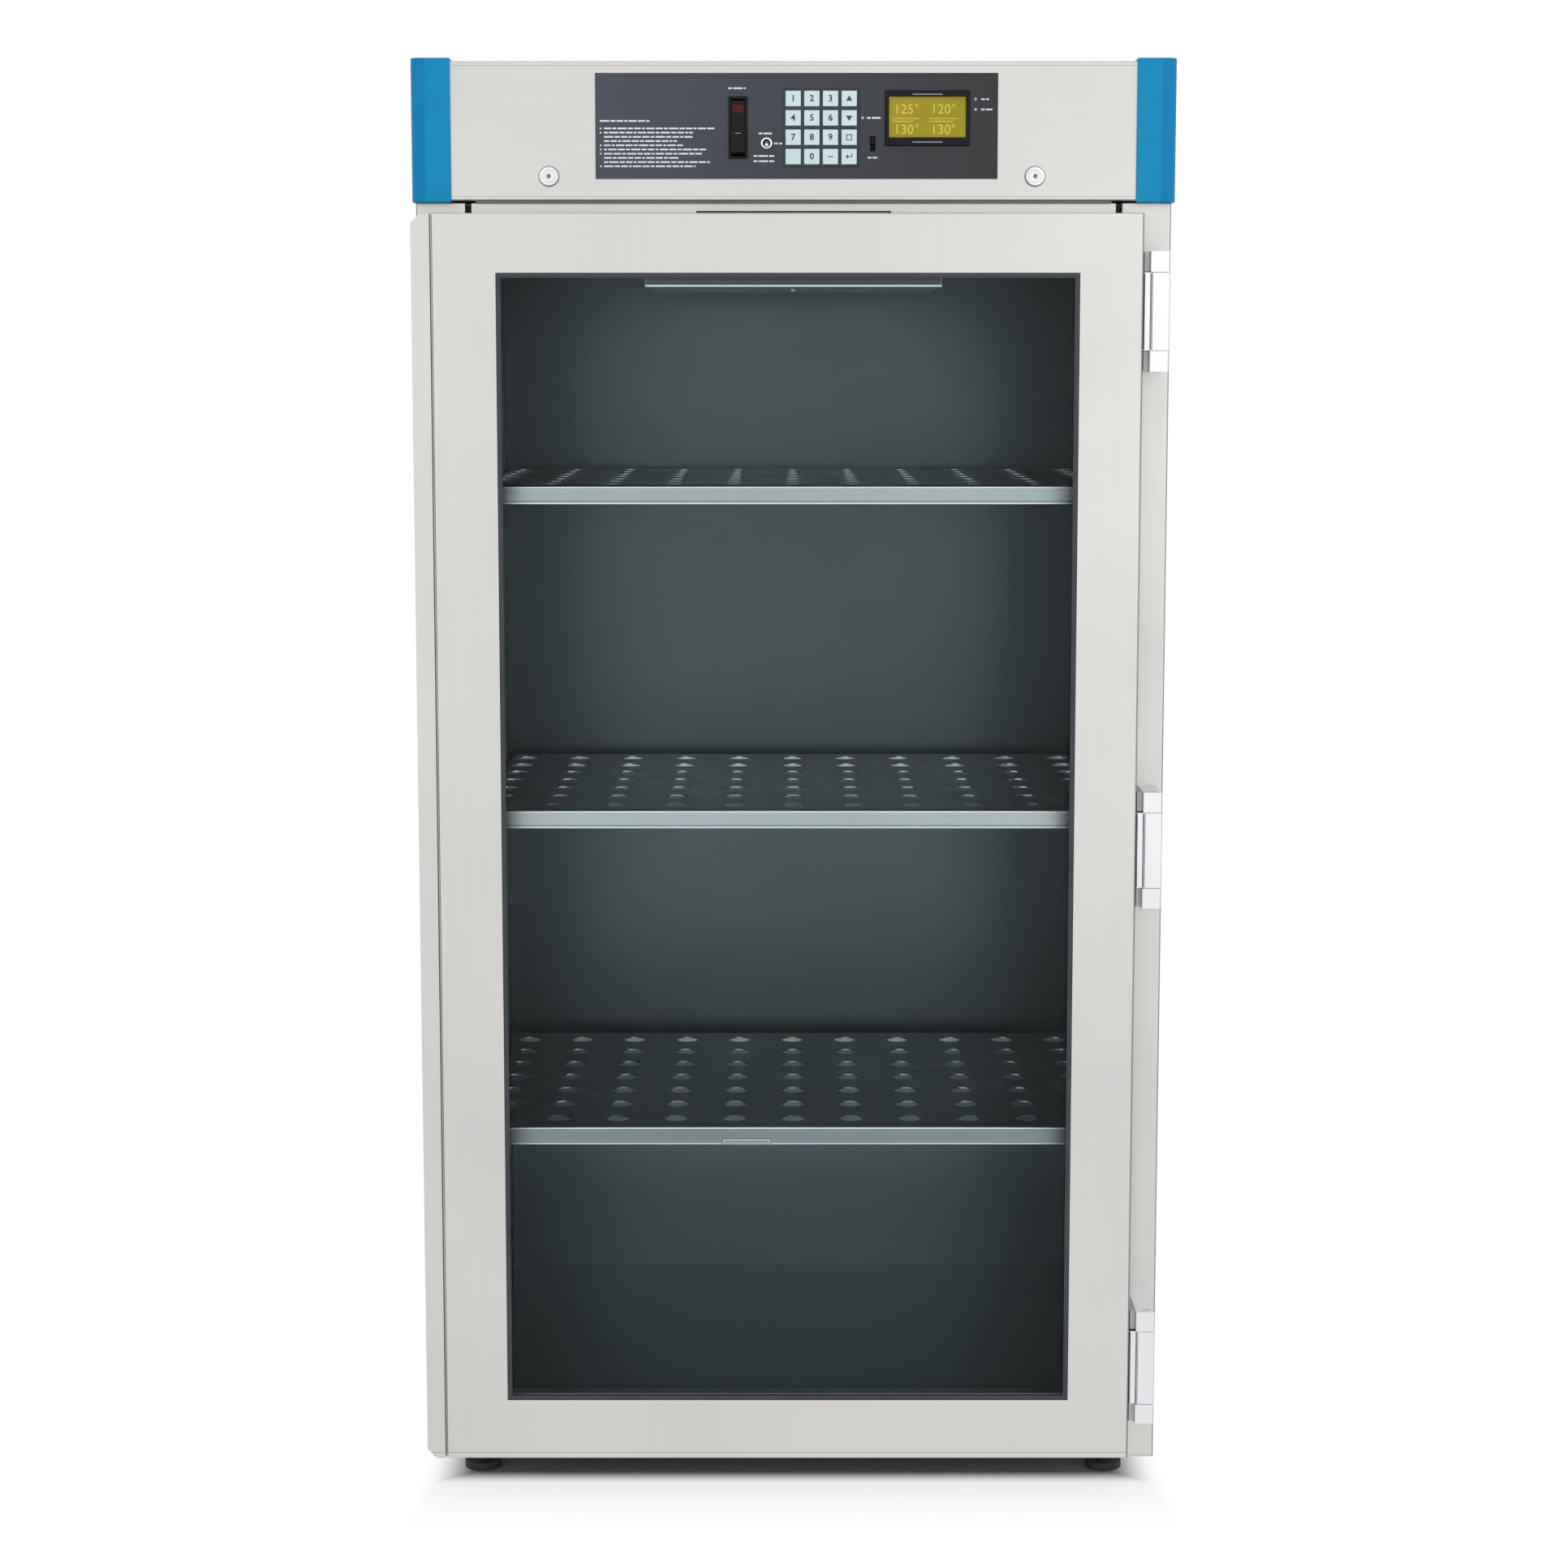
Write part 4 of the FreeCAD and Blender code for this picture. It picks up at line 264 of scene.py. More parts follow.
def textured(name, effect, light, dark, smooth, coarse, plain, **own):
    """A material fed from an effect group with its own two tones and polishes."""
    made = material(name, light, smooth, **plain)
    tree = made.node_tree
    use = add(tree, "ShaderNodeGroup", node_tree=effect)
    values = {"Light": (*light, 1), "Dark": (*dark, 1), "Smooth": smooth, "Coarse": coarse, **own}
    for label, number in values.items():
        use.inputs[label].default_value = number
    for output in use.outputs:
        target = "Base Color" if output.name == "Color" else output.name
        tree.links.new(output, tree.nodes["Principled BSDF"].inputs[target])
    return made


UPRIGHT_GRAIN = (850, 850, 4)
LEVEL_GRAIN = (4, 850, 850)


def steel(name, light, dark, smooth, coarse, grain=LEVEL_GRAIN, depth=0.00003):
    """A steel finish with its own two tones, polish and grain."""
    return textured(name, SHEET, light, dark, smooth, coarse, {"Metallic": 1.0}, Grain=grain, Depth=depth)


def off_line(coordinate, line):
    """How far a coordinate is from a line."""
    return calc("ABSOLUTE", calc("SUBTRACT", coordinate, line))


def tinted(made, mask, color):
    """Lay another colour over a finish wherever the mask is 1."""
    base = made.node_tree.nodes["Principled BSDF"].inputs["Base Color"]
    made.node_tree.links.new(blended(mask, base.links[0].from_socket, (*color, 1)), base)


def dress(finish, *names):
    """Give CAD nodes a finish."""
    for name in names:
        mesh = frame["nodes"][name].data
        mesh.materials.clear()
        mesh.materials.append(finish)


def weighted_normals(shape):
    """Normals of all face corners, in which large flat faces outweigh the narrow ones beside them."""
    shape.normal_update()
    weights = {face: face.normal * face.calc_area() for face in shape.faces}
    smooth = {edge: len(edge.link_faces) == 2 and edge.calc_face_angle() < SMOOTH_BELOW
              for edge in shape.edges}
    normals = []
    for face in shape.faces:
        for corner in face.loops:
            fan = {face}
            waiting = [face]
            while waiting:
                beside = waiting.pop()
                for edge in corner.vert.link_edges:
                    if smooth[edge] and beside in edge.link_faces:
                        fresh = [other for other in edge.link_faces if other not in fan]
                        fan.update(fresh)
                        waiting.extend(fresh)
            total = sum((weights[part] for part in sorted(fan, key=lambda part: part.index)), Vector())
            normals.append(total.normalized() if total.length > 0 else face.normal)
    return normals


def finished(name, shape, finish, body="cabinet", replaced=None):
    """Write a piece's mesh, give it its finish, and let it ride on its body."""
    shape.faces.index_update()
    normals = weighted_normals(shape)
    mesh = bpy.data.meshes.new(name)
    shape.to_mesh(mesh)
    shape.free()
    mesh.shade_smooth()
    mesh.set_sharp_from_angle(angle=SMOOTH_BELOW)
    mesh.normals_split_custom_set(normals)
    mesh.materials.append(finish)
    piece = in_scene(name, mesh)
    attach(piece, body)
    if replaced:
        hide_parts(replaced)


def stand_in(name, shape, finish, node):
    """A piece that takes the place of a CAD node."""
    finished(name, shape, finish, BODY_OF[node], node)


def rounded(name, width):
    """A copy of a CAD node's shape with its sharp edges rounded off."""
    shape = bmesh.new()
    shape.from_mesh(frame["nodes"][name].data)
    bmesh.ops.remove_doubles(shape, verts=shape.verts, dist=NODE_WELD)
    bmesh.ops.dissolve_limit(shape, angle_limit=FLAT_WITHIN, verts=shape.verts, edges=shape.edges)
    sharp = [edge for edge in shape.edges
             if len(edge.link_faces) == 2 and edge.calc_face_angle() > SHARP_ABOVE]
    bmesh.ops.bevel(shape, geom=sharp, offset=width, offset_type="OFFSET", segments=2, profile=0.5,
                    affect="EDGES", clamp_overlap=True)
    return shape


def softened(finish, width, *names):
    """Stand copies in for CAD nodes, with edges rounded as folding, machining or moulding leaves them."""
    for name in names:
        stand_in(name + "_finished", rounded(name, width), finish, name)


def skinned(shape, rings):
    """Join each ring of points to the next with four-sided faces."""
    faces = []
    for ring, after in zip(rings, rings[1:]):
        for step, corner in enumerate(ring):
            beside = (step + 1) % len(ring)
            faces.append(shape.faces.new((corner, ring[beside], after[beside], after[step])))
    return faces


def on_face(across, face, up, outward=-1):
    """Puts (right, up, out) points on a face; outward is -1 where it looks to the front, 1 to the rear."""
    return lambda right, rise, out: Vector((across + right, face + outward * out, up + rise))


def turned(shape, outline, place, segments):
    """Turn an outline of (radius, out) points about an axis."""
    turns = [2 * math.pi * step / segments for step in range(segments)]
    rings = [[shape.verts.new(place(radius * math.cos(turn), radius * math.sin(turn), out)) for turn in turns]
             for radius, out in outline]
    faces = skinned(shape, rings)
    bmesh.ops.remove_doubles(shape, verts=[point for ring in rings for point in ring], dist=RING_WELD)
    bmesh.ops.recalc_face_normals(shape, faces=[face for face in faces if face.is_valid])


def evaluated_mesh(holder):
    """The mesh that an object's modifiers or lettering give."""
    return bpy.data.meshes.new_from_object(holder.evaluated_get(bpy.context.evaluated_depsgraph_get()))


def harvested(holder, *others):
    """The shape that an object's modifiers give; the objects that were needed for it go."""
    mesh = evaluated_mesh(holder)
    shape = bmesh.new()
    shape.from_mesh(mesh)
    bpy.data.meshes.remove(mesh)
    for spent in (holder, *others):
        data = spent.data
        bpy.data.objects.remove(spent)
        bpy.data.meshes.remove(data)
    return shape


def cut(shape, cutters):
    """Take one closed shape away from another."""
    holders = []
    for part in (shape, cutters):
        mesh = bpy.data.meshes.new("cut")
        part.to_mesh(mesh)
        part.free()
        holders.append(in_scene("cut", mesh))
    removal = holders[0].modifiers.new("removal", "BOOLEAN")
    removal.operation = "DIFFERENCE"
    removal.solver = "EXACT"
    removal.object = holders[1]
    return harvested(*holders)


def pattern_tree(name, inputs):
    """A Geometry Nodes tree that takes points and named inputs, and gives geometry."""
    points = {"Geometry": "Geometry"}
    return node_group("GeometryNodeTree", name, {**points, **inputs}, points)


def join(tree, *pieces):
    """Join geometries, the last one first."""
    made = add(tree, "GeometryNodeJoinGeometry")
    for piece in pieces:
        tree.links.new(piece, made.inputs[0])
    return made.outputs[0]


def closing(tree, geometry, finish, out):
    """End a tree with real geometry in its finish."""
    real = add(tree, "GeometryNodeRealizeInstances", {"Geometry": geometry}).outputs[0]
    dressed = add(tree, "GeometryNodeSetMaterial", {"Geometry": real, "Material": finish}).outputs[0]
    tree.links.new(dressed, out[0])


def grown(tree, places, **values):
    """Run a Geometry Nodes tree over some points and return its result as a shape."""
    seeds = bpy.data.meshes.new("seeds")
    seeds.from_pydata([tuple(place) for place in places], [], [])
    holder = in_scene("holder", seeds)
    pattern = holder.modifiers.new("pattern", "NODES")
    pattern.node_group = tree
    for item in tree.interface.items_tree:
        label = item.name.replace(" ", "_")
        if item.in_out == "INPUT" and label in values:
            pattern[item.identifier] = values[label]
    shape = harvested(holder)
    bmesh.ops.remove_doubles(shape, verts=shape.verts, dist=RING_WELD)
    bmesh.ops.recalc_face_normals(shape, faces=shape.faces)
    return shape


HEAD_SIDES = 24
CROWN_SHARE = 0.82  # of a screw head's radius: its flat crown,
RECESS_SHARE = 0.42  # and the recess for the driver, half as deep as the head is high


def screw_heads():
    """Low round heads with a recess for the driver, one on each point, all facing the same way."""
    tree, given, out = pattern_tree(
        "screw_heads", {"Radius": "Float", "Height": "Float", "Facing": "Vector", "Finish": "Material"})
    radius = given["Radius"]
    height = given["Height"]
    half = calc("MULTIPLY", height, 0.5)
    crown = calc("MULTIPLY", radius, CROWN_SHARE)
    recess = calc("MULTIPLY", radius, RECESS_SHARE)

    def cone(top, bottom, depth=0.0):
        sizes = {"Vertices": HEAD_SIDES, "Radius Top": top, "Radius Bottom": bottom, "Depth": depth}
        return add(tree, "GeometryNodeMeshCone", sizes, fill_type="NONE").outputs["Mesh"]

    def raised(part, rise):
        offset = add(tree, "ShaderNodeCombineXYZ", {"Z": rise}).outputs[0]
        return add(tree, "GeometryNodeTransform", {"Geometry": part, "Translation": offset}).outputs[0]

    wall = add(tree, "GeometryNodeMeshCylinder", {"Vertices": HEAD_SIDES, "Radius": recess, "Depth": half},
               fill_type="NONE").outputs["Mesh"]
    wall_middle = calc("MULTIPLY", height, 0.75)
    surfaces = join(tree, cone(crown, radius, height), raised(cone(recess, crown), height),
                    raised(cone(0.0, recess), half), raised(wall, wall_middle), cone(0.0, radius))
    head = add(tree, "GeometryNodeMergeByDistance", {"Geometry": surfaces, "Distance": NODE_WELD}).outputs[0]
    heads = add(tree, "GeometryNodeInstanceOnPoints",
                {"Points": given["Geometry"], "Instance": head, "Rotation": given["Facing"]}).outputs[0]
    closing(tree, heads, given["Finish"], out)
    return tree


STAINLESS = ((0.665, 0.648, 0.632), (0.585, 0.592, 0.572), 0.34, 0.46)
FOLD_EDGE = 0.0006  # how far the edges of folded sheet are rounded,
CRISP_EDGE = 0.0004  # and those of sheared or small parts
BEND_PAINTED_SHADE = 0.0016  # the front bend of each side panel, painted dark as shade from the gap beside the door
stainless = steel("stainless_upright", *STAINLESS, UPRIGHT_GRAIN)
stainless_level = steel("stainless_level", *STAINLESS)
plain_steel = steel("plain_steel", (0.42, 0.42, 0.42), (0.34, 0.34, 0.34), 0.42, 0.55)
panel_steel = steel("panel_steel", *STAINLESS, UPRIGHT_GRAIN)
spot = place_of(panel_steel)
low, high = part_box("side_panels")
at_side = calc("GREATER_THAN", calc("ABSOLUTE", spot["X"]), high.x - BEND_PAINTED_SHADE)
at_front = calc("LESS_THAN", spot["Y"], low.y + BEND_PAINTED_SHADE)
# painted shade along the front bend of each side panel
tinted(panel_steel, calc("MULTIPLY", at_side, at_front), (0.30, 0.295, 0.29))
softened(panel_steel, FOLD_EDGE, "side_panels")
softened(stainless_level, FOLD_EDGE, "base_pan", "top_rail")
dress(plain_steel, "top_deck")

SCREWS = screw_heads()
screw_steel = steel("screw_steel", (0.66, 0.66, 0.67), (0.50, 0.50, 0.51), 0.25, 0.38)


def screw_row(name, places, facing, radius, height):
    """Set screws into the cabinet at some points."""
    screws = grown(SCREWS, places, Radius=radius, Height=height, Facing=facing, Finish=screw_steel)
    finished(name, screws, screw_steel)


SCREW_RADIUS = 0.0045
SINK_RADIUS = 0.0052
SINK_DEPTH = 0.0008
SINK_CLEAR = 0.001  # the cutter stands this far out of the panel
SINK_SIDES = 20
SEAT_GAP = 0.0001  # the heads lie this far below the panel's face
SINK = ((0, -SINK_DEPTH), (SCREW_RADIUS, -SINK_DEPTH), (SINK_RADIUS, 0), (SINK_RADIUS, SINK_CLEAR),
        (0, SINK_CLEAR))
EDGE_INSET = 0.012
REAR_ROWS = (0.045, 0.30, 0.62, 0.94, 1.26, 1.355, 1.455)
REAR_FOOT = (-0.18, 0.0, 0.18)
TO_REAR = (-math.pi / 2, 0, 0)
low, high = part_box("rear_panel")
rear_places = [Vector((side * (high.x - EDGE_INSET), high.y, height))
               for side in (-1, 1) for height in REAR_ROWS]
rear_places += [Vector((across, high.y, REAR_ROWS[0])) for across in REAR_FOOT]
sinks = bmesh.new()
for spot in rear_places:
    turned(sinks, SINK, on_face(*spot, outward=1), SINK_SIDES)
stand_in("rear_panel_drilled", cut(rounded("rear_panel", CRISP_EDGE), sinks), stainless, "rear_panel")
seats = [spot - Vector((0, SINK_DEPTH, 0)) for spot in rear_places]
screw_row("rear_panel_screws", seats, TO_REAR, SCREW_RADIUS, SINK_DEPTH - SEAT_GAP)

# ------------------------------
# Heated chamber: flat stainless liner sheets, painted dark as painted shade for a chamber that little light
# gets into, with slotted steel standards screwed to the side walls and bent clips hooked in.


def pebbled_skin(tree, place, given):
    """The pebbled skin of moulded, cast or felted material, with a slightly uneven tone."""
    pebbles = add(tree, "ShaderNodeTexVoronoi", {"Vector": place, "Scale": given["Pebbles"]})
    clouds = add(tree, "ShaderNodeTexNoise", {"Vector": place, "Scale": 28.0, "Detail": 5.0})
    return pebbles.outputs["Distance"], clouds.outputs[0]


GRAIN = finish_effect("fine_grain", {"Pebbles": "Float"}, pebbled_skin, 0.35, 0.30, 0.62)


def moulded(name, light, dark, smooth, coarse, pebbles=1500.0, depth=0.00002, **plain):
    """A moulded, cast or felted finish with its own two tones, gloss and grain."""
    return textured(name, GRAIN, light, dark, smooth, coarse, plain, Pebbles=pebbles, Depth=depth)


# painted shade: the liner's dark slate tones stand in for the shade inside the chamber
chamber_steel = steel("chamber_steel", (0.098, 0.118, 0.125), (0.085, 0.101, 0.108), 0.28, 0.32,
                      depth=0.000005)
LIFT_FROM = 0.34  # below the lowest shelf the liner is painted paler, as painted light in the lower compartment
LIFT_TO = 0.22
# painted light: the liner turns paler towards the bottom
paler = ramp(place_of(chamber_steel)["Z"], LIFT_FROM, LIFT_TO, curve="SMOOTHSTEP")
tinted(chamber_steel, paler, (0.172, 0.208, 0.222))
softened(chamber_steel, FOLD_EDGE, "chamber_side_walls", "shelf_clips")
dress(chamber_steel, "chamber_back_wall", "chamber_end_panels")

SLOT_PITCH = 0.0127  # slots that the clips hook into, painted as near-black patches of shade
SLOT_HALF_HEIGHT = 0.0032
SLOT_HALF_WIDTH = 0.0022
STANDARD_HALF = 0.010
low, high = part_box("shelf_pilasters")
# painted shade: the standards' dark tones, like the liner's
slotted_steel = steel("slotted_steel", (0.13, 0.16, 0.165), (0.085, 0.11, 0.115), 0.30, 0.42, UPRIGHT_GRAIN)
spot = place_of(slotted_steel)
middle_of_pair = (low.y + high.y) / 2
standard_reach = (high.y - low.y) / 2 - STANDARD_HALF
off_standard = off_line(off_line(spot["Y"], middle_of_pair), standard_reach)
in_width = calc("LESS_THAN", off_standard, SLOT_HALF_WIDTH)
in_height = calc("LESS_THAN", calc("PINGPONG", spot["Z"], SLOT_PITCH / 2), SLOT_HALF_HEIGHT)
# painted shade: each slot is a near-black patch in the colour, not a cut
tinted(slotted_steel, calc("MULTIPLY", in_width, in_height), (0.006, 0.008, 0.009))
softened(slotted_steel, CRISP_EDGE, "shelf_pilasters")

SIDES = ((-1, "left"), (1, "right"))
WALL_SCREW_HEIGHTS = (0.11, 0.55, 0.87, 1.27)
WALL_SCREW_RADIUS = 0.0036
WALL_SCREW_HEAD = 0.0007
WALL_SCREW_SEAT = 0.003  # back from the standards' inner faces
for side, label in SIDES:
    places = [Vector((side * (high.x - WALL_SCREW_SEAT), middle_of_pair + reach, height))
              for reach in (-standard_reach, standard_reach) for height in WALL_SCREW_HEIGHTS]
    screw_row("standard_screws_" + label, places, (0, -side * math.pi / 2, 0), WALL_SCREW_RADIUS,
              WALL_SCREW_HEAD)

wool = moulded("mineral_wool", (0.62, 0.56, 0.42), (0.45, 0.40, 0.28), 0.92, 1.0, 400.0, 0.0008)
dress(wool, "insulation")

# ------------------------------
# Shelves: perforated stainless sheet, its four edges folded down over a small
# radius and hemmed back underneath, with a bare label clipped to the lowest one.

SHELF_SHEET = 0.0015
SHELF_FOLD = 0.003
SHELF_LIP = 0.020
SHELF_HEM = 0.008
HOLE_RADIUS = 0.0125
HOLE_SIDES = 36
HOLE_COLUMNS = 11
HOLE_ROWS = 7
HOLE_SIDE_INSET = 0.019
HOLE_END_INSET = 0.0355


def perforated_sheet():
    """A flat sheet with a grid of round holes, its upper face at the height of the seed point."""
    tree, given, out = pattern_tree(
        "perforated_sheet",
        {"Width": "Float", "Depth": "Float", "Thickness": "Float", "Columns": "Int", "Rows": "Int",
         "Span X": "Float", "Span Y": "Float", "Hole Radius": "Float", "Finish": "Material"})
    outline = add(tree, "GeometryNodeCurvePrimitiveQuadrilateral",
                  {"Width": given["Width"], "Height": given["Depth"]}).outputs[0]
    grid = add(tree, "GeometryNodeMeshGrid",
               {"Size X": given["Span X"], "Size Y": given["Span Y"],
                "Vertices X": given["Columns"], "Vertices Y": given["Rows"]}).outputs["Mesh"]
    hole = add(tree, "GeometryNodeCurvePrimitiveCircle",
               {"Resolution": HOLE_SIDES, "Radius": given["Hole Radius"]}).outputs["Curve"]
    holes = add(tree, "GeometryNodeInstanceOnPoints", {"Points": grid, "Instance": hole}).outputs[0]
    real = add(tree, "GeometryNodeRealizeInstances", {"Geometry": holes}).outputs[0]
    under = add(tree, "GeometryNodeFillCurve", {"Curve": join(tree, outline, real)}).outputs[0]
    rise = add(tree, "ShaderNodeCombineXYZ", {"Z": given["Thickness"]}).outputs[0]
    upper = add(tree, "GeometryNodeExtrudeMesh",
                {"Mesh": under, "Offset": rise, "Offset Scale": 1.0, "Individual": False}).outputs["Mesh"]
    closed = join(tree, upper, add(tree, "GeometryNodeFlipFaces", {"Mesh": under}).outputs[0])
    drop = add(tree, "ShaderNodeVectorMath", {0: rise, "Scale": -1.0}, operation="SCALE").outputs[0]
    level = add(tree, "GeometryNodeTransform", {"Geometry": closed, "Translation": drop}).outputs[0]
    placed = add(tree, "GeometryNodeInstanceOnPoints",
                 {"Points": given["Geometry"], "Instance": level}).outputs[0]
    closing(tree, placed, given["Finish"], out)
    return tree


def corners_of(left, right, bottom, top):
    """A rectangle's corners, from the lower left and round past the lower right."""
    return (left, bottom), (right, bottom), (right, top), (left, top)


def framed(shape, low, high, outline, place):
    """Sweep a closed outline of (inset, height) points round a rectangle with mitred corners."""
    rings = []
    for inset, height in outline:
        corners = corners_of(low[0] + inset, high[0] - inset, low[1] + inset, high[1] - inset)
        rings.append([shape.verts.new(place(*corner, height)) for corner in corners])
    bmesh.ops.recalc_face_normals(shape, faces=skinned(shape, rings + rings[:1]))


def strip(name, low, high, outline, front, finish, body="cabinet"):
    """A piece on a face that looks to the front: an outline swept round a rectangle."""
    shape = bmesh.new()
    framed(shape, low, high, outline, on_face(0, front, 0))
    finished(name, shape, finish, body)


def arc(centre, radius, start, end, steps=4):
    """Points of an arc in degrees, as (inset, height) pairs."""
    turns = [math.radians(start + (end - start) * step / steps) for step in range(steps + 1)]
    return [(centre[0] + radius * math.cos(turn), centre[1] + radius * math.sin(turn)) for turn in turns]


PERFORATED = perforated_sheet()
fold_centre = (SHELF_FOLD, -SHELF_FOLD)
hem_centre = (SHELF_SHEET, SHELF_SHEET - SHELF_LIP)
LIP_OUTLINE = [
    *arc(fold_centre, SHELF_FOLD, 90, 180),
    *arc(hem_centre, SHELF_SHEET, 180, 270),
    (SHELF_HEM, -SHELF_LIP),
    (SHELF_HEM, SHELF_SHEET - SHELF_LIP),
    (SHELF_SHEET, SHELF_SHEET - SHELF_LIP),
    *arc(fold_centre, SHELF_FOLD - SHELF_SHEET, 180, 90),
]
PAINTED_HIGHLIGHT_EDGE = 0.0020  # painted highlights on the folds at the lip's top and foot, and a thin line of painted shade on the hem's edge above the foot
PAINTED_HEM_SHADE = 0.0036  # and the hem's edge shows as a thin dark line above the foot
HEM_HALF = 0.0007
FOLD_DROP = 0.0016  # from the shelf's face down to the middle of the bright fold
LIP_SKIN = 0.0006  # the lip's flat outer face
# each shelf's tones are painted light and shade for how much light reaches it, the lowest darkest
SHELF_PAINTED_LIGHT_TONES = {
    "shelf_bottom": ((0.34, 0.37, 0.38), (0.26, 0.285, 0.295)),
    "shelf_middle": ((0.60, 0.63, 0.64), (0.48, 0.51, 0.52)),
    "shelf_top": ((0.54, 0.57, 0.58), (0.43, 0.46, 0.47)),
}
for name, (light, dark) in SHELF_PAINTED_LIGHT_TONES.items():
    low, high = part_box(name)
    shelf_steel = steel(name + "_steel", light, dark, 0.24, 0.34, depth=0.000015)
    spot = place_of(shelf_steel)
    on_lip = calc("LESS_THAN", spot["Y"], low.y + LIP_SKIN)
    on_fold = calc("LESS_THAN", off_line(spot["Z"], high.z - FOLD_DROP), PAINTED_HIGHLIGHT_EDGE / 2)
    on_foot = calc("LESS_THAN", spot["Z"], low.z + PAINTED_HIGHLIGHT_EDGE)
    at_edge = calc("LESS_THAN", spot["Y"], low.y + SHELF_FOLD)
    bright = calc("MULTIPLY", at_edge, calc("MAXIMUM", on_fold, on_foot))
    # painted highlight on the lip's two folds
    tinted(shelf_steel, bright, (0.98, 0.98, 0.98))
    # painted shade along the hem's edge
    on_painted_hem = calc("LESS_THAN", off_line(spot["Z"], low.z + PAINTED_HEM_SHADE), HEM_HALF)
    tinted(shelf_steel, calc("MULTIPLY", on_lip, on_painted_hem), (0.30, 0.32, 0.33))
    size = high - low
    middle = (low + high) / 2
    shelf = grown(PERFORATED, [(middle.x, middle.y, high.z)], Width=size.x - 2 * SHELF_FOLD,
                  Depth=size.y - 2 * SHELF_FOLD, Thickness=SHELF_SHEET, Columns=HOLE_COLUMNS, Rows=HOLE_ROWS,
                  Span_X=size.x - 2 * HOLE_SIDE_INSET, Span_Y=size.y - 2 * HOLE_END_INSET,
                  Hole_Radius=HOLE_RADIUS, Finish=shelf_steel)
    framed(shelf, low, high, LIP_OUTLINE, lambda across, deep, up: Vector((across, deep, high.z + up)))
    stand_in(name + "_perforated", shelf, shelf_steel, name)

CARD_LOW = (-0.0745, 0.3602)
CARD_HIGH = (-0.0235, 0.3672)
CARD_RIM = 0.0006
HOLDER_OUTLINE = ((0.0, 0.0), (0.0, 0.0007), (CARD_RIM, 0.0009), (CARD_RIM, 0.0))
CARD_OUTLINE = ((0.0, 0.0), (0.0, 0.0003), (0.0022, 0.00045), (0.0022, 0.0))
shelf_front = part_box("shelf_bottom")[0].y
clear_plastic = moulded("label_rim", (0.30, 0.33, 0.34), (0.24, 0.27, 0.28), 0.15, 0.25)
strip("label_holder", CARD_LOW, CARD_HIGH, HOLDER_OUTLINE, shelf_front, clear_plastic)
card_paper = moulded("card_paper", (0.86, 0.87, 0.86), (0.76, 0.77, 0.76), 0.7, 0.85, 900.0)
card_low = [start + CARD_RIM for start in CARD_LOW]
card_high = [end - CARD_RIM for end in CARD_HIGH]
strip("label_card", card_low, card_high, CARD_OUTLINE, shelf_front, card_paper)

# ------------------------------
# Air system: folded guard under the ceiling, riveted fan wheel, sheathed heating
# rods, the motor on top and two thin probes near the back wall.

MOULD_EDGE = 0.0005  # rounding of pressed and moulded edges,
CAST_EDGE = 0.0012  # and of thick cast or moulded ones
low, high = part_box("air_guard")
GUARD_FOOT = 0.0024  # painted highlights on the guard's folded foot and its two cut ends
GUARD_END = 0.0010
END_PAINTED_HIGHLIGHT = 0.5
# painted shade: the guard's dark tones stand in for the shade under the ceiling
guard_steel = steel("guard_steel", (0.15, 0.17, 0.178), (0.115, 0.132, 0.138), 0.26, 0.36, depth=0.00001)
spot = place_of(guard_steel)
at_foot = calc("LESS_THAN", spot["Z"], low.z + GUARD_FOOT)
at_end = calc("GREATER_THAN", calc("ABSOLUTE", spot["X"]), high.x - GUARD_END)
# painted highlights on the two cut ends and the foot
tinted(guard_steel, calc("MULTIPLY", at_end, END_PAINTED_HIGHLIGHT), (0.60, 0.64, 0.66))
tinted(guard_steel, at_foot, (0.96, 0.98, 0.99))
softened(guard_steel, MOULD_EDGE, "air_guard")
galvanised = steel("galvanised_fan", (0.52, 0.53, 0.54), (0.38, 0.39, 0.41), 0.30, 0.45, (60, 60, 60))
dress(galvanised, "fan_wheel")
heater_sheath = moulded("heater_sheath", (0.16, 0.12, 0.10), (0.07, 0.055, 0.05), 0.45, 0.65, 900.0, 0.00003,
                        Metallic=1.0)
softened(heater_sheath, FOLD_EDGE, "heating_element")
motor_casting = moulded("motor_casting", (0.34, 0.35, 0.36), (0.24, 0.25, 0.26), 0.42, 0.6, 700.0, 0.00006,
                        Metallic=1.0)
softened(motor_casting, CAST_EDGE, "fan_motor")
probe_sheath = steel("probe_sheath", (0.55, 0.55, 0.56), (0.42, 0.42, 0.43), 0.22, 0.35)
softened(probe_sheath, FOLD_EDGE, "temperature_sensors")

# ------------------------------
# Door: folded stainless skin over an inner frame, two tempered panes held by dark
# beads, a magnetic gasket round the back and a full-height pull strip.

FOLD_LINE = 0.0065  # painted shade marks the skin's hem this far above the door's lower edge
FOLD_HALF = 0.0004
FOLD_PAINTED_SHADE = 0.7
EDGE_PAINTED_SHADE = 0.0019  # painted shade along the hinge side's edge, for the gap beside it
door_steel = steel("door_steel", (0.672, 0.654, 0.638), (0.592, 0.600, 0.580), 0.34, 0.46, UPRIGHT_GRAIN)
spot = place_of(door_steel)
low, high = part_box("door_skin")
on_fold = calc("LESS_THAN", off_line(spot["Z"], low.z + FOLD_LINE), FOLD_HALF)
on_edge = calc("GREATER_THAN", spot["X"], high.x - EDGE_PAINTED_SHADE)
shaded = calc("MAXIMUM", calc("MULTIPLY", on_fold, FOLD_PAINTED_SHADE), on_edge)
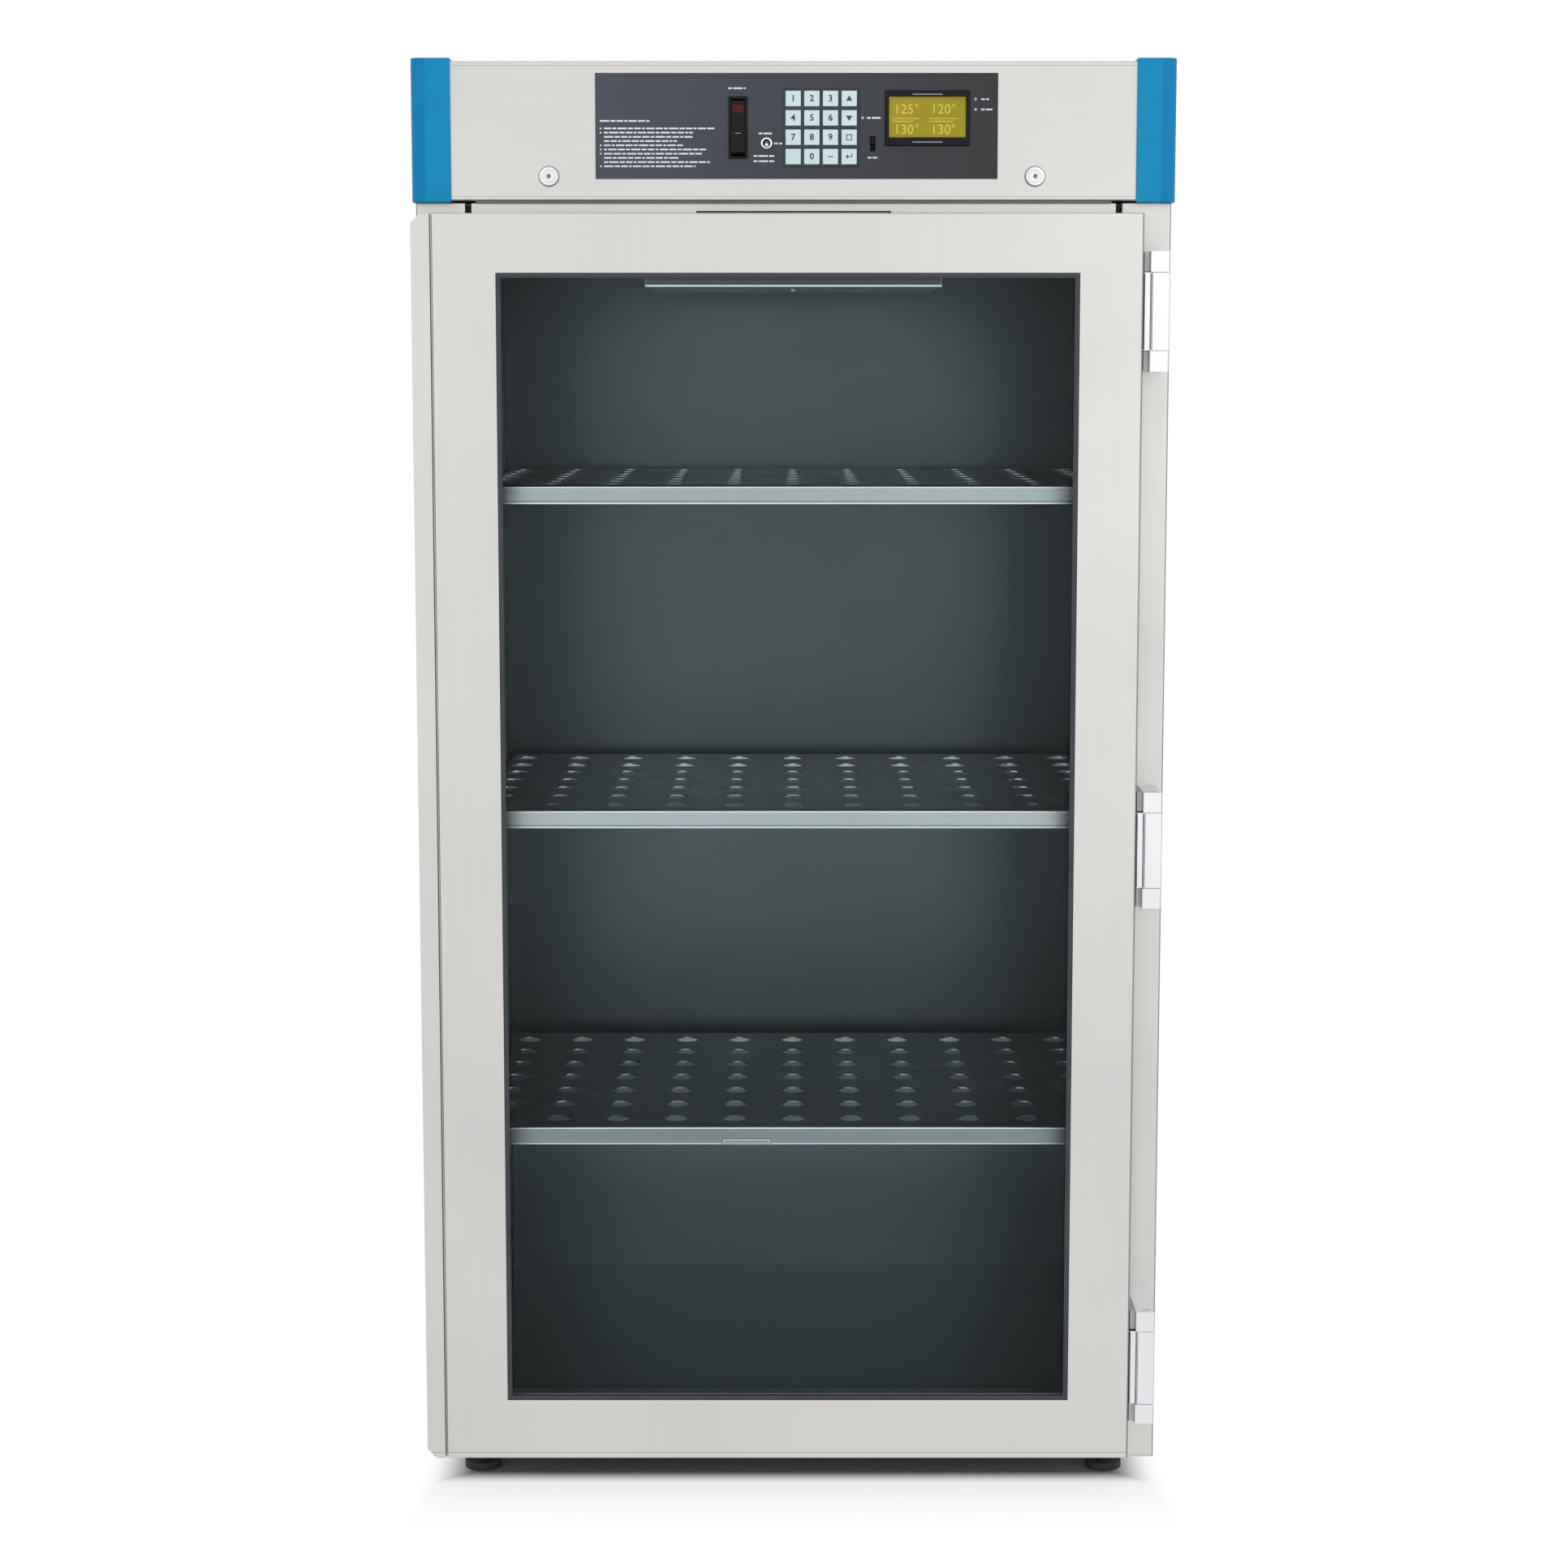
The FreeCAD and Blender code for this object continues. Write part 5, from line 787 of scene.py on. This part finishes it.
# painted shade on the hem line and along the hinge-side edge
tinted(door_steel, shaded, (0.27, 0.265, 0.26))
softened(door_steel, FOLD_EDGE, "door_skin", "door_pull")
softened(stainless, FOLD_EDGE, "door_inner_frame")

glass = material("clear_glass", (0.935, 0.965, 0.97), 0.0, IOR=1.12, Transmission_Weight=1.0)
tree = glass.node_tree
place = add(tree, "ShaderNodeTexCoord").outputs["Object"]
waves = add(tree, "ShaderNodeTexNoise", {"Vector": place, "Scale": 5.0, "Detail": 1.0}).outputs[0]
float_glass = add(tree, "ShaderNodeBump", {"Strength": 0.6, "Distance": 0.00008, "Height": waves})
tree.links.new(float_glass.outputs[0], tree.nodes["Principled BSDF"].inputs["Normal"])
dress(glass, "door_glass")

GASKET_EDGE = 0.002
seal = moulded("dark_seal", (0.050, 0.058, 0.064), (0.034, 0.040, 0.045), 0.42, 0.58, Specular_IOR_Level=0.3)
gasket_rubber = moulded("gasket_rubber", (0.055, 0.058, 0.06), (0.03, 0.032, 0.034), 0.5, 0.7, 800.0, 0.00004)
softened(seal, CRISP_EDGE, "glazing_seals")
softened(gasket_rubber, GASKET_EDGE, "door_gasket")

# Dark strip above the door: a thin strip of dark rubber on the top rail,
# over the middle of the door.
DARK_STRIP_HALF = 0.098
DARK_STRIP_FOOT = 0.0012  # heights above the door
DARK_STRIP_HEAD = 0.0042
DARK_STRIP_OUTLINE = ((0.0, 0.0), (0.0, 0.0012), (0.0004, 0.0016), (0.0013, 0.0016), (0.0013, 0.0))
door_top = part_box("door_skin")[1].z
strip("bumper_strip", (-DARK_STRIP_HALF, door_top + DARK_STRIP_FOOT), (DARK_STRIP_HALF, door_top + DARK_STRIP_HEAD),
      DARK_STRIP_OUTLINE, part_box("top_rail")[0].y, gasket_rubber)

# ------------------------------
# Hinges: bright block hinges, each a bracket with two end blocks on the body, a
# leaf with a knuckle on the door's edge, and a steel pin through all three.

BLOCK_EDGE = 0.0007
hinge_metal = steel("hinge_metal", (0.80, 0.81, 0.83), (0.70, 0.71, 0.73), 0.22, 0.34, UPRIGHT_GRAIN)
pin_steel = steel("pin_steel", (0.60, 0.60, 0.61), (0.48, 0.48, 0.49), 0.18, 0.30, UPRIGHT_GRAIN)
softened(hinge_metal, BLOCK_EDGE, "hinge_brackets")


def capped(shape, foot, head):
    """Close a block between two like rings of points."""
    rings = [[shape.verts.new(point) for point in ring] for ring in (foot, head)]
    faces = [shape.faces.new(rings[1]), shape.faces.new(rings[0][::-1]), *skinned(shape, rings)]
    bmesh.ops.recalc_face_normals(shape, faces=faces)


LEAF_GROOVES = ((-0.0004, 0.0012), (0.0066, 0.0079))  # from the leaf's door side
GROOVE_DEPTH = 0.0018
CUTTER_AHEAD = 0.001  # how far the cutters stand clear of the leaf in front,
CUTTER_OVER = 0.01  # and beyond its ends
low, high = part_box("hinge_leaves")
grooves = bmesh.new()
for start, end in LEAF_GROOVES:
    corners = corners_of(low.x + start, low.x + end, low.y - CUTTER_AHEAD, low.y + GROOVE_DEPTH)
    heights = (low.z - CUTTER_OVER, high.z + CUTTER_OVER)
    capped(grooves, *[[(*corner, height) for corner in corners] for height in heights])
leaves = cut(rounded("hinge_leaves", FOLD_EDGE), grooves)
stand_in("hinge_leaves_grooved", leaves, hinge_metal, "hinge_leaves")

LEAF_LENGTH = 0.0774
INLAY_SHORT = 0.001  # the inlays end this far from the leaf's ends
INLAY_OUTLINE = ((0.0, 0.0), (0.0, -0.0011), (0.0002, -0.0012), (0.0004, -0.0012), (0.0004, 0.0))
# painted shade: dark rubber inlays in the leaf's grooves stand in for the shade of deep gaps
gap_shade_inlays = bmesh.new()
for foot in (low.z, (low.z + high.z - LEAF_LENGTH) / 2, high.z - LEAF_LENGTH):
    for start, end in LEAF_GROOVES:
        framed(gap_shade_inlays, (low.x + max(start, 0), foot + INLAY_SHORT),
               (low.x + end, foot + LEAF_LENGTH - INLAY_SHORT), INLAY_OUTLINE,
               on_face(0, low.y + GROOVE_DEPTH, 0, outward=1))
finished("hinge_leaf_gaps", gap_shade_inlays, gasket_rubber, "door")

SPACER_LEFT = 0.0055  # from the end block to the spacer's door side
SPACER_REACH = 0.0425  # forward from the body
SPACER_HEIGHT = 0.0196
SPACER_INSET = 0.0005  # from the hinge's ends
SPACER_OUTLINE = ((0.0, 0.0), (0.0, 0.0002 - SPACER_REACH), (0.0002, -SPACER_REACH), (0.0027, -SPACER_REACH),
                  (0.0027, 0.0))
HINGE_LENGTH = 0.1193  # over both end blocks
low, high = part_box("hinge_brackets")
# painted shade: the spacers' dull grey stands in for the shaded bracket beside the end blocks
spacer_steel = steel("spacer_steel", (0.50, 0.495, 0.485), (0.40, 0.395, 0.385), 0.45, 0.60, UPRIGHT_GRAIN)
spacers = bmesh.new()
for foot in (low.z, (low.z + high.z - HINGE_LENGTH) / 2, high.z - HINGE_LENGTH):
    for bottom in (foot + SPACER_INSET, foot + HINGE_LENGTH - SPACER_HEIGHT - SPACER_INSET):
        framed(spacers, (low.x - SPACER_LEFT, bottom), (low.x, bottom + SPACER_HEIGHT), SPACER_OUTLINE,
               on_face(0, high.y, 0, outward=1))
finished("hinge_spacers", spacers, spacer_steel)
softened(pin_steel, MOULD_EDGE, "hinge_pins")

# ------------------------------
# Header: folded fascia and cover, moulded corner caps pressed over the corners,
# two round quarter-turn fasteners, and small screws on the cover's top and sides.

HEM_BELOW_TOP = 0.0045
HEM_ABOVE_FOOT = 0.0040
HEM_LINE_PAINTED_SHADE = 0.6
softened(stainless_level, FOLD_EDGE, "header_cover")
low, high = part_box("fascia")
fascia_foot = low.z
fascia_steel = steel("fascia_steel", *STAINLESS)
height = place_of(fascia_steel)["Z"]
# painted shade marks the fascia's two hem lines
off_hems = calc("MINIMUM", off_line(height, high.z - HEM_BELOW_TOP), off_line(height, low.z + HEM_ABOVE_FOOT))
on_painted_hem = calc("LESS_THAN", off_hems, FOLD_HALF)
tinted(fascia_steel, calc("MULTIPLY", on_painted_hem, HEM_LINE_PAINTED_SHADE), (0.33, 0.325, 0.32))
softened(fascia_steel, FOLD_EDGE, "fascia")

FASTENER_REACH = 0.004  # the heads' height on the fascia
FASTENER_HEIGHT = 1.364
FASTENER_RADIUS = 0.0095
FASTENER_SIDES = 40
FASTENER_HEAD = (
    # radius and height of each corner of the turned outline
    (0, -0.012), (0.0045, -0.012), (0.0045, 0), (0.0095, 0), (0.0095, 0.0031), (0.0093, 0.0037),
    (0.0087, 0.004), (0.0064, 0.004), (0.0061, 0.0036), (0.0058, 0.004), (0.0024, 0.004), (0.0021, 0.0037),
    (0.0021, 0.0012), (0, 0.0008),
)
SHADE_RING = ((0.0050, 0.0001), (0.0104, 0.0001), (0.0104, 0.0007), (0.0100, 0.0010), (0.0096, 0.0010),
          (0.0096, 0.0001))
SOCKET_SHADE = ((0, 0.0011), (0.00205, 0.0011), (0.00205, 0.0026), (0.0012, 0.0027), (0, 0.0024))
low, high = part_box("panel_fasteners")


def on_both_fasteners(*outlines):
    """Outlines turned about the axes of the two fasteners."""
    shape = bmesh.new()
    for across in (low.x + FASTENER_RADIUS, high.x - FASTENER_RADIUS):
        for outline in outlines:
            turned(shape, outline, on_face(across, low.y + FASTENER_REACH, FASTENER_HEIGHT), FASTENER_SIDES)
    return shape


# painted shade: grey rings round the heads and grey plugs in their sockets stand in for the shadow round each
# head and in its socket
washer_nylon = moulded("washer_nylon", (0.30, 0.285, 0.275), (0.24, 0.23, 0.22), 0.45, 0.6, 900.0)
shade_rings = on_both_fasteners(SHADE_RING, SOCKET_SHADE)
stand_in("panel_fasteners_turned", on_both_fasteners(FASTENER_HEAD), hinge_metal, "panel_fasteners")
finished("fastener_washers", shade_rings, washer_nylon)

# Pale strip: a grey strip along the top rail under the fascia's foot, which fills the gap between them;
# its pale grey is painted light, for the lit underside of the fascia.
GAP_STRIP_HALF = 0.320
GAP_STRIP_FRONT = -0.2600
GAP_STRIP_DEEP = 0.0073
GAP_OUTLINE = ((0.0, 0.0), (0.0, 0.0070), (0.0003, GAP_STRIP_DEEP), (0.00095, GAP_STRIP_DEEP), (0.00095, 0.0))
gap_foam = moulded("gap_foam", (0.33, 0.315, 0.30), (0.27, 0.26, 0.25), 0.8, 0.95, 1600.0, 0.00003)
strip("fascia_gap_strip", (-GAP_STRIP_HALF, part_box("top_rail")[1].z), (GAP_STRIP_HALF, fascia_foot),
      GAP_OUTLINE, GAP_STRIP_FRONT + GAP_STRIP_DEEP, gap_foam)

CAP_BAND = 0.369  # outer third of each cap is painted darker, as shade on its rounded edge
CAP_BLEND = 0.001
blue_plastic = moulded("blue_plastic", (0.006, 0.285, 0.545), (0.004, 0.252, 0.490), 0.40, 0.52, 1300.0,
                       0.00003, Specular_IOR_Level=0.15)
# painted shade on the outer band of each cap
outward = ramp(calc("ABSOLUTE", place_of(blue_plastic)["X"]), CAP_BAND - CAP_BLEND, CAP_BAND + CAP_BLEND)
tinted(blue_plastic, outward, (0.003, 0.222, 0.470))
softened(blue_plastic, CAST_EDGE, "corner_caps")

SCREW_HEIGHT = 0.0018
COVER_SCREWS = (-0.30, -0.10, 0.10, 0.30)
COVER_INSET = 0.015  # from the cover's rear edge
SIDE_SCREWS = (-0.14, 0.05, 0.26)
SIDE_SCREW_LIFT = 0.014
low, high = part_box("header_cover")
places = [Vector((across, high.y - COVER_INSET, high.z)) for across in COVER_SCREWS]
screw_row("header_top_screws", places, (0, 0, 0), SCREW_RADIUS, SCREW_HEIGHT)
for side, label in SIDES:
    places = [Vector((side * high.x, deep, low.z + SIDE_SCREW_LIFT)) for deep in SIDE_SCREWS]
    screw_row("header_side_screws_" + label, places, (0, side * math.pi / 2, 0), SCREW_RADIUS, SCREW_HEIGHT)

# ------------------------------
# Control plate: dark anodised sheet, screen printed in white. The printed lines
# are plain bars that stand in for operating text, and the badge's place is bare.

PRINT_THICK = 0.00006
FINE_EDGE = 0.0003  # rounding of thin sheet's edges


def mark(shape, corners, front):
    """Add a printed flat outline of (across, up) points, facing the front."""
    levels = (front, front - PRINT_THICK)
    capped(shape, *[[(across, level, up) for across, up in corners] for level in levels])


def bar(shape, left, right, bottom, top, front):
    """Add a printed bar, a thin flat block that faces the front."""
    mark(shape, corners_of(left, right, bottom, top), front)


anodised = steel("anodised_plate", (0.070, 0.081, 0.104), (0.058, 0.067, 0.086), 0.40, 0.52)
shader = anodised.node_tree.nodes["Principled BSDF"]
shader.inputs["Metallic"].default_value = 0.0
shader.inputs["Specular IOR Level"].default_value = 0.3
low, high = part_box("control_plate")
plate_front = low.y
# painted shade: the plate darkens from its left end to its right
tinted(anodised, ramp(place_of(anodised)["X"], low.x, high.x), (0.027, 0.029, 0.031))
softened(anodised, FINE_EDGE, "control_plate")

white_print = moulded("white_print", (0.80, 0.84, 0.88), (0.66, 0.70, 0.74), 0.5, 0.65)
PRINT_LEFT = low.x + 0.0045
PRINT_INDENT = 0.0042
HEADING_HEIGHT = 1.4180
HEADING_END = 0.050
PRINT_TOP = 1.4106
LINE_PITCH = 0.00416
LINE_HEIGHT = 0.0016
LINE_ENDS = (0.112, 0.089, 0.0895, 0.073, 0.079, 0.104, 0.0985, 0.075, 0.106, 0.0915)
NUMBERED = (0, 1, 4, 5, 6, 9)
WORDS = (0.0072, 0.0038, 0.0094, 0.0051, 0.0066, 0.0029, 0.0083)
WORD_SPACE = 0.0012


def printed_line(shape, left, end, bottom, height, first):
    """Add one line of word-long bars, which ends at a given place."""
    number = first
    while left < end - WORD_SPACE:
        length = min(WORDS[number % len(WORDS)], end - left)
        bar(shape, left, left + length, bottom, bottom + height, plate_front)
        left += length + WORD_SPACE
        number += 1


lines = bmesh.new()
printed_line(lines, PRINT_LEFT, PRINT_LEFT + HEADING_END, HEADING_HEIGHT, LINE_HEIGHT, 2)
for number, length in enumerate(LINE_ENDS):
    bottom = PRINT_TOP - number * LINE_PITCH
    text_left = PRINT_LEFT + PRINT_INDENT
    printed_line(lines, text_left, text_left + length, bottom, LINE_HEIGHT, number)
    if number in NUMBERED:
        bar(lines, PRINT_LEFT, PRINT_LEFT + LINE_HEIGHT, bottom, bottom + LINE_HEIGHT, plate_front)
finished("printed_lines", lines, white_print)

CAPTIONS = (
    # left, right and middle height of the bar by each control
    (-0.0655, -0.0480, 1.4510),
    (-0.0352, -0.0218, 1.4064),
    (-0.0196, -0.0115, 1.3965),
    (-0.0402, -0.0178, 1.3842),
    (-0.0402, -0.0178, 1.3790),
    (0.0733, 0.0870, 1.4218),
    (0.0742, 0.0838, 1.3825),
    (0.1876, 0.1955, 1.4402),
    (0.1876, 0.1990, 1.4301),
)
captions = bmesh.new()
for left, right, middle in CAPTIONS:
    printed_line(captions, left, right, middle - LINE_HEIGHT / 2, LINE_HEIGHT, 1)
finished("caption_bars", captions, white_print)

# ------------------------------
# Power rocker: a black two-sided moulded rocker that pivots in its housing, with a
# red lens let into the half pressed for on, and a printed bar on the other half.

black_plastic = moulded("black_plastic", (0.010, 0.010, 0.0105), (0.005, 0.005, 0.0055), 0.34, 0.46,
                        Specular_IOR_Level=0.16)
softened(black_plastic, CRISP_EDGE, "switch_housings", "power_rocker")

low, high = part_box("power_rocker")
ROCKER_MIDDLE = (low.x + high.x) / 2
ROCKER_FACE = -0.2652  # the upper half's face, level with the plate
ROCKER_SLOPE = math.radians(14.5)
LENS_HALF = 0.0052
LENS_LOW = 1.4272
LENS_HIGH = 1.4346
LENS_OUTLINE = ((0.0, 0.0), (0.0, 0.0001), (0.0008, 0.00025), (0.00365, 0.00030), (0.00365, 0.0))
red_lens = moulded("red_lens", (0.110, 0.006, 0.006), (0.030, 0.002, 0.002), 0.12, 0.22, 1400.0, 0.00002,
                   Emission_Color=(0.5, 0.02, 0.015, 1), Emission_Strength=0.03, Specular_IOR_Level=0.2)
strip("rocker_lens", (ROCKER_MIDDLE - LENS_HALF, LENS_LOW), (ROCKER_MIDDLE + LENS_HALF, LENS_HIGH),
      LENS_OUTLINE, ROCKER_FACE, red_lens, "rocker")
pale_print = moulded("pale_print", (0.34, 0.34, 0.35), (0.26, 0.26, 0.27), 0.5, 0.65)
OFF_HALF = 0.0028  # half the printed bar's length,
OFF_THIN = 0.0004  # half its width,
OFF_PLACE = Vector((ROCKER_MIDDLE, -0.2669, 1.4121 - 0.0055))  # and its middle, below the pivot
off_bar = bmesh.new()
bar(off_bar, ROCKER_MIDDLE - OFF_HALF, ROCKER_MIDDLE + OFF_HALF, OFF_PLACE.z - OFF_THIN,
    OFF_PLACE.z + OFF_THIN, OFF_PLACE.y)
bmesh.ops.rotate(off_bar, verts=off_bar.verts, cent=OFF_PLACE, matrix=Matrix.Rotation(ROCKER_SLOPE, 3, "X"))
finished("rocker_bar", off_bar, pale_print, "rocker")

# ------------------------------
# Keypad: sixteen pale moulded caps in a dark frame, digits and plain symbols
# printed on them. One key is blank, as the real one is.


def lettering(shape, text, size, across, up, front, bolder=0.0):
    """Add upright printed text that is centred on a point and faces the front."""
    curve = bpy.data.curves.new("lettering", "FONT")
    curve.body = text
    curve.size = size
    curve.align_x = "CENTER"
    curve.align_y = "CENTER"
    curve.extrude = PRINT_THICK / 2
    curve.offset = bolder
    curve.resolution_u = 3
    holder = in_scene("lettering", curve)
    mesh = evaluated_mesh(holder)
    stand_up = Matrix.Rotation(math.radians(90), 4, "X")
    mesh.transform(Matrix.Translation((across, front - PRINT_THICK / 2, up)) @ stand_up)
    shape.from_mesh(mesh)
    bpy.data.objects.remove(holder)
    bpy.data.curves.remove(curve)
    bpy.data.meshes.remove(mesh)


key_plastic = moulded("key_plastic", (0.67, 0.82, 0.85), (0.60, 0.755, 0.79), 0.36, 0.46)
key_print = moulded("key_print", (0.030, 0.052, 0.070), (0.020, 0.036, 0.050), 0.5, 0.6)
KEYS = [name for name in frame["nodes"] if name.startswith("key_")]
softened(anodised, FINE_EDGE, "keypad_frame")
softened(key_plastic, CRISP_EDGE, *KEYS)

DIGIT_SIZE = 0.0088
DIGIT_BOLD = 0.00022
STROKE = 0.0009
FRAME_HALF = 0.003  # the square symbol, outside and inside its stroke
FRAME_INNER = FRAME_HALF - STROKE
SYMBOLS = {
    # outlines of (across, up) points from the middle of the key
    "up": [((-0.0032, -0.0022), (0.0032, -0.0022), (0, 0.0030))],
    "down": [((-0.0032, 0.0022), (0.0032, 0.0022), (0, -0.0030))],
    "set": [corners_of(-FRAME_HALF, FRAME_HALF, -FRAME_HALF, -FRAME_INNER),
            corners_of(-FRAME_HALF, FRAME_HALF, FRAME_INNER, FRAME_HALF),
            corners_of(-FRAME_HALF, -FRAME_INNER, -FRAME_INNER, FRAME_INNER),
            corners_of(FRAME_INNER, FRAME_HALF, -FRAME_INNER, FRAME_INNER)],
    "mode": [corners_of(-0.0028, 0.0028, -STROKE / 2, STROKE / 2)],
    "enter": [((-0.0034, 0), (-0.001, -0.0024), (-0.001, -STROKE / 2), (0.0032, -STROKE / 2),
               (0.0032, 0.003), (0.0032 - STROKE, 0.003), (0.0032 - STROKE, STROKE / 2),
               (-0.001, STROKE / 2), (-0.001, 0.0024))],
}
for name in KEYS:
    label = name.removeprefix("key_")
    low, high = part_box(name)
    middle = (low + high) / 2
    legend = bmesh.new()
    for outline in SYMBOLS.get(label, ()):
        mark(legend, [(middle.x + across, middle.z + up) for across, up in outline], low.y)
    if label.isdigit():
        lettering(legend, label, DIGIT_SIZE, middle.x, middle.z, low.y, DIGIT_BOLD)
    if label != "clear":
        finished("legend_" + label, legend, key_print, BODY_OF[name])

# ------------------------------
# Small controls: a chromed toggle lever in a round dress nut, a slide switch with
# a moulded knob, and three small lamps with frosted lenses.

chrome = steel("chrome", (0.86, 0.86, 0.87), (0.74, 0.74, 0.76), 0.12, 0.22)
TOGGLE_PIVOT = Vector((-0.0272, -0.2652, 1.3967))
LEVER_AXIS = Vector((0, -0.978, -0.208)).normalized()
LEVER_SIDE = Vector((1, 0, 0))
LEVER_UP = LEVER_AXIS.cross(LEVER_SIDE)
BALL = 0.003
BALL_TURNS = [math.radians(turn) for turn in range(-90, 70, 20)]
LEVER_OUTLINE = [*[(BALL * math.cos(turn), BALL * math.sin(turn)) for turn in BALL_TURNS],
                 (0.0012, 0.0034), (0.0012, 0.0052), (0.0018, 0.0092), (0.0020, 0.0104),
                 (0.0019, 0.0113), (0.0014, 0.0118), (0.0007, 0.01198), (0, 0.0120)]
LEVER_SIDES = 24
lever = bmesh.new()
turned(lever, LEVER_OUTLINE,
       lambda right, up, out: TOGGLE_PIVOT + right * LEVER_SIDE + up * LEVER_UP + out * LEVER_AXIS,
       LEVER_SIDES)
stand_in("toggle_lever_turned", lever, chrome, "toggle_lever")
NUT_OUTLINE = ((0.00366, 0.0), (0.0059, 0.0), (0.0059, 0.0034), (0.0056, 0.0039), (0.0051, 0.0042),
               (0.0043, 0.0042), (0.0039, 0.0040), (0.00366, 0.0035), (0.00366, 0.0))
NUT_SIDES = 36
nut = bmesh.new()
turned(nut, NUT_OUTLINE, on_face(TOGGLE_PIVOT.x, plate_front, TOGGLE_PIVOT.z), NUT_SIDES)
finished("toggle_dress_nut", nut, chrome)
softened(black_plastic, FINE_EDGE, "slide_knob")
lamp_lens = moulded("lamp_lens", (0.42, 0.46, 0.49), (0.33, 0.37, 0.40), 0.15, 0.25)
softened(lamp_lens, CRISP_EDGE, "indicator_lamps")

# ------------------------------
# Display: a yellow backlit character panel behind a black moulded bezel, which
# shows plain example readings in two rows.

softened(black_plastic, MOULD_EDGE, "display_bezel")
display_cells = moulded("display_cells", (0.40, 0.315, 0.018), (0.34, 0.265, 0.014), 0.25, 0.35, 1800.0,
                        0.00001, Specular_IOR_Level=0.25)
dress(display_cells, "display_panel")
lit_cells = moulded("lit_cells", (0.74, 0.64, 0.06), (0.66, 0.57, 0.045), 0.4, 0.5, 2600.0, 0.00001)
READING_SIZE = 0.0135
READINGS = (
    # text, and the place of its middle
    ("125°", 0.1130, 1.4300), ("120°", 0.1500, 1.4300),
    ("130°", 0.1130, 1.4100), ("130°", 0.1500, 1.4100),
)
LINE_HALF = 0.0004
UNDERLINES = (
    # left, right and height
    (0.0990, 0.1260, 1.4212), (0.1360, 0.1650, 1.4212), (0.0990, 0.1200, 1.4184), (0.1360, 0.1600, 1.4184),
)
cells_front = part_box("display_panel")[0].y
readings = bmesh.new()
for text, across, up in READINGS:
    lettering(readings, text, READING_SIZE, across, up, cells_front)
for left, right, up in UNDERLINES:
    bar(readings, left, right, up - LINE_HALF, up + LINE_HALF, cells_front)
finished("display_readings", readings, lit_cells)

BEZEL_INSET = 0.0036  # the printed bars above and below the cells
BEZEL_BAR_REACH = 0.015
BEZEL_BAR_HALF = 0.0005
low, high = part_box("display_bezel")
middle = (low.x + high.x) / 2
bezel_print = bmesh.new()
for up in (low.z + BEZEL_INSET, high.z - BEZEL_INSET):
    bar(bezel_print, middle - BEZEL_BAR_REACH, middle + BEZEL_BAR_REACH, up - BEZEL_BAR_HALF,
        up + BEZEL_BAR_HALF, low.y)
finished("bezel_bars", bezel_print, pale_print)

# ------------------------------
# Behind the covers: a green laminate control board on four standoffs behind the
# fascia, and a black moulded mains inlet snapped into the rear panel.

board = moulded("circuit_board", (0.02, 0.13, 0.05), (0.012, 0.09, 0.035), 0.35, 0.55, 500.0)
dress(board, "control_board")
softened(black_plastic, MOULD_EDGE, "power_inlet")

# ------------------------------
# Levelling feet: black moulded pads on threaded studs, each screwed up into the
# base pan and held by a lock nut.

foot_plastic = moulded("foot_plastic", (0.03, 0.03, 0.032), (0.02, 0.02, 0.021), 0.55, 0.7)
softened(foot_plastic, CAST_EDGE, "levelling_feet")
